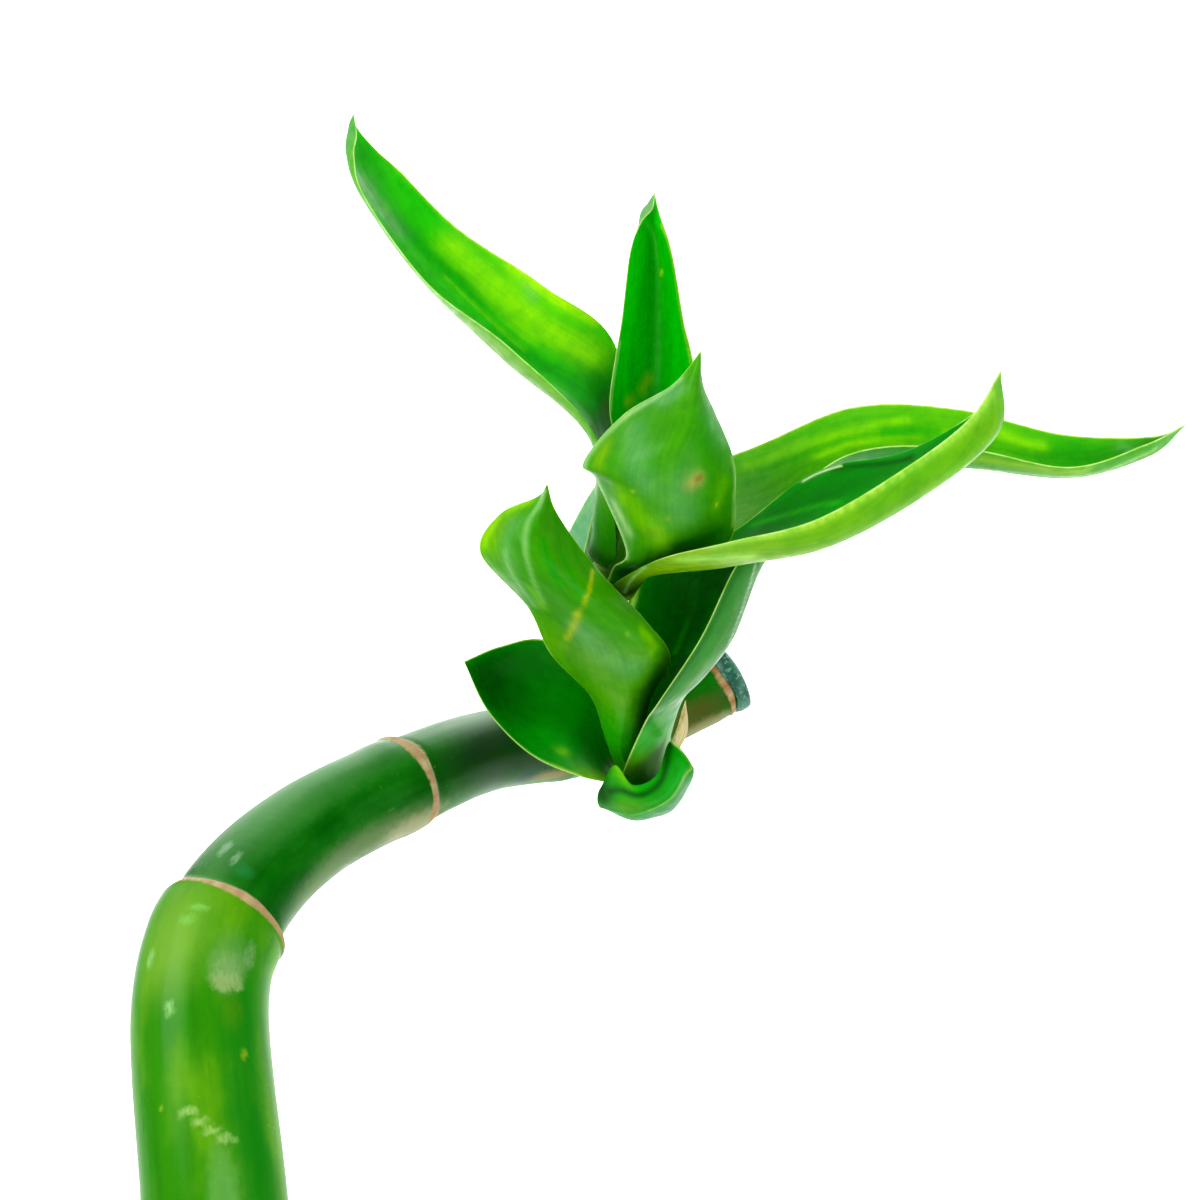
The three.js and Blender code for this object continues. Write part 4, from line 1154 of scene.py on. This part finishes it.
def make_leaf(number, name, leaf):
    """One leaf, with the values that its finish reads."""
    grid, u, v, inner = blade_skin(leaf)
    from_left, width, along = across_sheet(leaf, u, v)
    apart = LEAF_APART * number + FACE_APART * inner
    flat = np.stack(np.broadcast_arrays(from_left - width / 2, along, apart), -1)
    edge = np.minimum(from_left, width - from_left)
    for place in leaf.get("bare", ()):
        edge = edge + BARE_REACH * patch_mark(u, v, *place)
    slot, finish = ("scale", dry_brown) if name == "dry_scale" else ("leaf", leaf_green)
    values = {"tint": [painted(leaf, grid, u, v, inner)], "edge": [edge], "flat": [flat * MM]}
    make_piece(name, [grid], name, finish, values, ends="zip")


def scale_finish():
    finish = Finish("dry_scale", roughness=0.7, subsurface_weight=0.2, subsurface_scale=0.001)
    streaks = finish.noise(finish.place((1, 0.1, 1), finish.attribute("flat", "Vector")), 1800, 3, 0.6)
    finish.surface(base_color=finish.blend(streaks, 0.3, 0.7, (0.3, 0.24, 0.06), (0.58, 0.52, 0.26)))
    finish.bump(streaks, 0.08, 0.8)
    return finish.material


dry_brown = scale_finish()
for number, (name, leaf) in enumerate(LEAVES.items()):
    make_leaf(number, name, leaf)

# %% [markdown]
# ## The vase
# The vase is a plain tapered tumbler of cream white glazed stoneware. Half of its section is a closed
# line from the axis to the axis, and the section carried round the axis is the whole vase. The glaze
# stops above the foot, where the bare clay stands on the table.

# %% Vase
VASE_HEIGHT = 118
VASE_FOOT_RADIUS = 36
VASE_RIM_RADIUS = 46
VASE_WALL = 3.6
VASE_FLOOR = 6
VASE_EDGE = 1.8
VASE_CORNER = 5
VASE_COLUMNS = 160
VASE_RIPPLE = 0.06
FOOT_RING = 4.5
FOOT_DEPTH = 1.4
AT_AXIS = 0.4


def vase_outer(z):
    """The outer radius grows evenly from foot to rim."""
    return VASE_FOOT_RADIUS + (VASE_RIM_RADIUS - VASE_FOOT_RADIUS) * z / VASE_HEIGHT


def vase_inner(z):
    """The inner radius, one wall less."""
    return vase_outer(z) - VASE_WALL


def arc(centre, radius, low, high, count):
    """Points of a circle's arc in a section, from one angle to another in degrees."""
    turn = np.radians(np.linspace(low, high, count))
    return np.stack([centre[0] + radius * np.cos(turn), centre[1] + radius * np.sin(turn)], 1)


def vase_section():
    """Recessed foot, rounded foot edge, tapered wall, rounded lip, inner wall, rounded corner, floor."""
    top = VASE_HEIGHT - VASE_EDGE
    ring = vase_outer(0) - VASE_EDGE
    inside = ring - FOOT_RING
    low = VASE_FLOOR + VASE_CORNER
    floor = vase_inner(low) - VASE_CORNER
    return np.concatenate([
        np.linspace((AT_AXIS, FOOT_DEPTH), (inside - 1, FOOT_DEPTH), 14),
        arc((inside - 1, FOOT_DEPTH - 1), 1, 90, 20, 5),
        np.linspace((inside + 0.3, 0), (ring - 0.4, 0), 4),
        arc((vase_outer(VASE_EDGE) - VASE_EDGE, VASE_EDGE), VASE_EDGE, -88, 0, 8),
        np.linspace((vase_outer(4), 4), (vase_outer(top - 1), top - 1), 70),
        arc((vase_outer(top) - VASE_WALL / 2, top), VASE_EDGE, 0, 180, 17),
        np.linspace((vase_inner(top - 3), top - 3), (floor + VASE_CORNER, low), 40),
        arc((floor, low), VASE_CORNER, 0, -90, 8),
        np.linspace((floor - 2, VASE_FLOOR), (AT_AXIS, VASE_FLOOR), 10),
    ])


def spun(section, columns, ripple=0):
    """The section carried round the axis. ripple, in millimetres, is the unevenness of a hand-turned
    wall: sin(2 angle + 0.04 z) + 0.6 sin(5 angle - 0.07 z), fading towards the axis."""
    turn = round_angles(columns)
    radius, height = section[:, :1], section[:, 1:]
    wave = np.sin(2 * turn + 0.04 * height) + 0.6 * np.sin(5 * turn - 0.07 * height)
    return upright_pipe(radius + ripple * np.minimum(radius / 30, 1) * wave, height, turn)


def glaze_finish():
    finish = Finish("cream_glaze", roughness=0.16, specular_ior_level=0.5, coat_weight=0.6,
                    coat_roughness=0.05)
    place = finish.place()
    height = finish.node("SeparateXYZ", {"Vector": place}, "Z")
    cloud = finish.noise(finish.place((1, 1, 1.6)), 26, 3, 0.45)
    speck = finish.noise(place, 900, 2)
    colour = finish.blend(cloud, 0.35, 0.7, (0.52, 0.475, 0.385), (0.58, 0.535, 0.445))
    colour = finish.mix(finish.step(speck, 0.71, 0.76, 0, 0.7), colour, (0.22, 0.14, 0.08))
    wave = finish.times(finish.math("SUBTRACT", cloud, 0.5), 0.003)
    bare = finish.step(finish.plus(height, wave), 0.0022, 0.003, 1, 0)
    clay = finish.blend(speck, 0.35, 0.7, (0.4, 0.28, 0.18), (0.5, 0.38, 0.26))
    rough = finish.plus(finish.step(cloud, 0.3, 0.7, 0.12, 0.22), finish.times(bare, 0.6))
    coat = finish.math("SUBTRACT", 0.6, finish.times(bare, 0.6))
    finish.surface(base_color=finish.mix(bare, colour, clay), roughness=rough, coat_weight=coat)
    finish.bump(finish.plus(cloud, finish.times(speck, 0.05)), 0.5, 0.4)
    return finish.material


vase_grid = spun(vase_section(), VASE_COLUMNS, VASE_RIPPLE)
make_piece("vase", [vase_grid], "vase", glaze_finish())

# %% [markdown]
# ## The pebbles
# Rounded river pebbles hold the cane upright. The top ones lie on a sunflower spiral, each turned
# 2.4 radians from the one before, which spreads them evenly. Each is a squashed ball with its own
# tilt and dents. A second layer and a plain bed close the gaps below them.

# %% Pebbles
PEBBLE_LEVEL = 97
PEBBLE_RISE = 4
PEBBLE_COUNT = 40
PEBBLE_TURN = 2.4
PEBBLE_MARGIN = 3.2
PEBBLE_SMALLEST = (6.0, 4.8, 3.5)
PEBBLE_LARGEST = (8.6, 6.6, 4.6)
PEBBLE_TILT = 0.35
PEBBLE_ROWS = 11
PEBBLE_COLUMNS = 18
CANE_CLEAR = 10.9
BED_COLUMNS = 64
BED_SHADE = 0.15
LOWER_LAYER_TURN = 1.1
dice = np.random.default_rng(7)


def cane_at(z):
    """The middle of the cane at a height in the vase."""
    low = cane_centres[cane_centres[:, 2] < VASE_HEIGHT]
    return np.array([np.interp(z, low[:, 2], low[:, axis]) for axis in (0, 1)])


def pebble(centre, size, spin, lean, dents):
    """A ball of latitude rows and longitude columns, dented by three slow waves, squashed to its three
    half sizes, turned and moved to its place."""
    end = np.pi / 2 - 0.12
    latitude = np.linspace(-end, end, PEBBLE_ROWS)[:, None]
    ball = upright_pipe(np.cos(latitude), np.sin(latitude), round_angles(PEBBLE_COLUMNS))
    wave = np.sin(ball @ dents.T * 2.2 + dents.sum(1)).sum(-1)
    ball = ball * (1 + 0.045 * wave[..., None]) * size
    turn_z = np.array([[np.cos(spin), -np.sin(spin), 0], [np.sin(spin), np.cos(spin), 0], [0, 0, 1]])
    turn_x = np.array([[1, 0, 0], [0, np.cos(lean), -np.sin(lean)], [0, np.sin(lean), np.cos(lean)]])
    return ball @ (turn_z @ turn_x).T + centre


def pebble_layer(level, start):
    """Pebbles on a sunflower spiral that fills the vase, kept clear of the cane and of the wall. The
    spiral starts at an angle in radians."""
    grids, shades = [], []
    wall = vase_inner(level)
    post = cane_at(level)
    for index in range(PEBBLE_COUNT):
        size = dice.uniform(PEBBLE_SMALLEST, PEBBLE_LARGEST)
        spin, lean = dice.uniform((0, -PEBBLE_TILT), (2 * np.pi, PEBBLE_TILT))
        dents = dice.normal(size=(3, 3))
        turn = index * PEBBLE_TURN + start
        away = (wall - PEBBLE_MARGIN) * math.sqrt((index + 0.5) / PEBBLE_COUNT)
        middle = away * np.array([math.cos(turn), math.sin(turn)])
        apart = middle - post
        clear = CANE_CLEAR + 0.8 * size[1]
        if np.linalg.norm(apart) < clear:
            middle = post + apart * clear / max(np.linalg.norm(apart), 0.1)
        far = np.linalg.norm(middle)
        farthest = wall - 0.9 * size[0]
        if far > farthest:
            middle = middle * farthest / far
        top = level + dice.uniform(-1.2, 0)
        grids.append(pebble((*middle, top - size[2]), size, spin, lean, dents))
        shades.append(dice.uniform(0, 1))
    return grids, shades


def pebble_bed():
    """A plain body below the pebbles, from the vase's floor to the lower layer, 0.3 mm clear of the
    wall."""
    low, middle, high = VASE_FLOOR + 0.4, 12, PEBBLE_LEVEL - 6
    section = np.concatenate([
        np.linspace((AT_AXIS, low), (vase_inner(low) - VASE_CORNER, low), 8),
        np.linspace((vase_inner(middle) - 0.3, middle), (vase_inner(high) - 0.3, high), 20),
        np.linspace((vase_inner(high) - 2, high), (AT_AXIS, high), 10),
    ])
    return spun(section, BED_COLUMNS)


top_grids, top_shades = pebble_layer(PEBBLE_LEVEL + PEBBLE_RISE, 0)
low_grids, low_shades = pebble_layer(PEBBLE_LEVEL - 1, LOWER_LAYER_TURN)
pebble_grids = [pebble_bed(), *low_grids, *top_grids]
pebble_shades = [BED_SHADE, *low_shades, *top_shades]
print(len(pebble_grids) - 1, "pebbles and their bed")

# %% [markdown]
# The pebbles share one finish. Each one's own number, its shade, picks a colour from a ramp of stone
# colours, and two noises cloud and speckle it.

# %% Pebble finish
PEBBLE_COLOURS = (
    (0.0, (0.24, 0.2, 0.17)), (0.3, (0.5, 0.44, 0.36)), (0.55, (0.72, 0.68, 0.6)),
    (0.8, (0.42, 0.3, 0.2)), (1.0, (0.8, 0.78, 0.73)),
)


def pebble_finish():
    finish = Finish("river_pebble", roughness=0.3, specular_ior_level=0.5)
    place = finish.place()
    grain = finish.noise(place, 700, 5, 0.65)
    cloud = finish.noise(place, 160, 3, 0.5, 0.6)
    colour = finish.node("ValToRGB", {"Fac": finish.attribute("shade")}, "Color")
    ramp = colour.node.color_ramp
    for share, tone in PEBBLE_COLOURS:
        stop = ramp.elements.new(share) if 0 < share < 1 else ramp.elements[int(share)]
        stop.color = (*tone, 1)
    colour = finish.mix(finish.step(cloud, 0.35, 0.7, 0, 0.45), colour, (0.62, 0.54, 0.44))
    colour = finish.mix(finish.step(grain, 0.55, 0.7, 0, 0.5), colour, (0.25, 0.2, 0.16))
    finish.surface(base_color=colour, roughness=finish.step(grain, 0.3, 0.7, 0.22, 0.42))
    finish.bump(finish.plus(cloud, finish.times(grain, 0.25)), 0.3, 0.4)
    return finish.material


shade_grids = [np.full(grid.shape[:2], shade) for grid, shade in zip(pebble_grids, pebble_shades)]
make_piece("pebbles", pebble_grids, "pebbles", pebble_finish(), {"shade": shade_grids})

# %% [markdown]
# ## The water
# A finger's breadth of clear water stands over the pebbles. Its surface is flat but climbs a little
# where it wets the wall and the cane, and its lower side lies among the pebbles, so that no air is
# left between them.

# %% Water
WATER_TOP = 105.8
WATER_BOTTOM = 91.5
WATER_COLUMNS = 240
INTO_WALL = 0.12
CLIMB = 0.4
CLIMB_WIDTH = 1.3
CANE_IN_WATER = 10.7


def water_body():
    """Rings from the bottom's middle out to the wall, up and back to the middle. The top's height is
    the level plus two falling exponentials, of the distances to the wall and to the cane."""
    low_wall = vase_inner(WATER_BOTTOM) + INTO_WALL
    high_wall = vase_inner(WATER_TOP) + INTO_WALL
    bottom = np.linspace((AT_AXIS, WATER_BOTTOM), (low_wall, WATER_BOTTOM), 12)
    side = np.linspace((low_wall + 0.1, WATER_BOTTOM + 2), (high_wall, WATER_TOP), 8)
    reach = high_wall - (high_wall - AT_AXIS) * np.linspace(0.06, 1, 70) ** 1.8
    surface = np.stack([reach, WATER_TOP + 0 * reach], 1)
    grid = spun(np.concatenate([bottom, side, surface]), WATER_COLUMNS)
    first = len(bottom) + len(side)
    grid[first - 1, :, 2] += CLIMB
    top = grid[first:]
    from_wall = high_wall - np.linalg.norm(top[..., :2], axis=-1)
    from_cane = np.linalg.norm(top[..., :2] - cane_at(WATER_TOP), axis=-1) - CANE_IN_WATER
    top[..., 2] += CLIMB * np.exp(-from_wall / CLIMB_WIDTH)
    top[..., 2] += CLIMB * np.exp(-np.maximum(from_cane, 0) / CLIMB_WIDTH)
    return grid


def water_finish():
    finish = Finish("clear_water", roughness=0.01, ior=1.333, transmission_weight=1.0)
    cloud = finish.noise(finish.place(), 60, 2)
    finish.surface(base_color=finish.blend(cloud, 0.3, 0.7, (0.93, 0.98, 0.97), (0.97, 1.0, 0.99)))
    finish.bump(cloud, 0.3, 0.15)
    return finish.material


make_piece("water", [water_body()], "water", water_finish())

# %% [markdown]
# ## Floor, backdrop and light
# A pale sheet lies under the vase and curves up behind it, so no edge shows. A large soft lamp stands
# high on the left, a weaker one on the right, one stands behind the plant, and one lights the
# backdrop. These places are in metres.

# %% Stage
FLOOR_FRONT = -3.0
CURVE_START = 1.2
CURVE_RADIUS = 0.9
BACKDROP_TOP = 4.0
BACKDROP_HALF_WIDTH = 3.5


def sheet_finish():
    finish = Finish("pale_sheet", roughness=0.8, specular_ior_level=0.1)
    grain = finish.noise(finish.place(), 40, 2)
    finish.surface(base_color=finish.blend(grain, 0.3, 0.7, (0.87, 0.87, 0.87), (0.9, 0.9, 0.9)))
    return finish.material


def backdrop():
    """A profile in the YZ plane, flat, then a quarter circle, then upright, carried along X."""
    curve = arc((CURVE_START, CURVE_RADIUS), CURVE_RADIUS, -90, 0, 16)
    top = (CURVE_START + CURVE_RADIUS, BACKDROP_TOP)
    profile = np.concatenate([[(FLOOR_FRONT, 0)], curve, [top]])
    sides = (-BACKDROP_HALF_WIDTH, 0, BACKDROP_HALF_WIDTH)
    points = np.array([(x, y, z) for y, z in profile for x in sides])
    faces = [(r * 3 + c, r * 3 + c + 1, r * 3 + c + 4, r * 3 + c + 3)
             for r in range(len(profile) - 1) for c in range(2)]
    sheet = placed("backdrop", smooth_mesh("backdrop", points, faces, sheet_finish()))


def lamp(name, place, aim, size, power):
    """A square soft lamp at a place, facing a point."""
    light = bpy.data.lights.new(name, "AREA")
    light.size = size
    light.energy = power
    made = placed(name, light)
    made.location = place
    x, y, z = np.subtract(place, aim)
    made.rotation_euler = (math.atan2(math.hypot(x, y), z), 0, math.atan2(y, x) + math.pi / 2)


backdrop()
lamp("key", (-0.75, -0.5, 1.1), (0.02, 0.08, 0.28), 0.7, 11)
lamp("fill", (0.9, -0.6, 0.5), (0.02, 0.08, 0.28), 0.8, 5)
lamp("back", (0.3, 1.1, 1.1), (0.02, 0.08, 0.3), 0.9, 5)
lamp("backdrop_light", (0, 0.9, 1.6), (0, 2.1, 0.9), 1.6, 60)
world = bpy.data.worlds.new("studio")
world.use_nodes = True
world.node_tree.nodes["Background"].inputs["Color"].default_value = (*WHITE, 1)
world.node_tree.nodes["Background"].inputs["Strength"].default_value = 0.5
scene.world = world
scene.view_settings.view_transform = "Standard"
scene.view_settings.look = "Medium High Contrast"
print("stage and lamps are set")
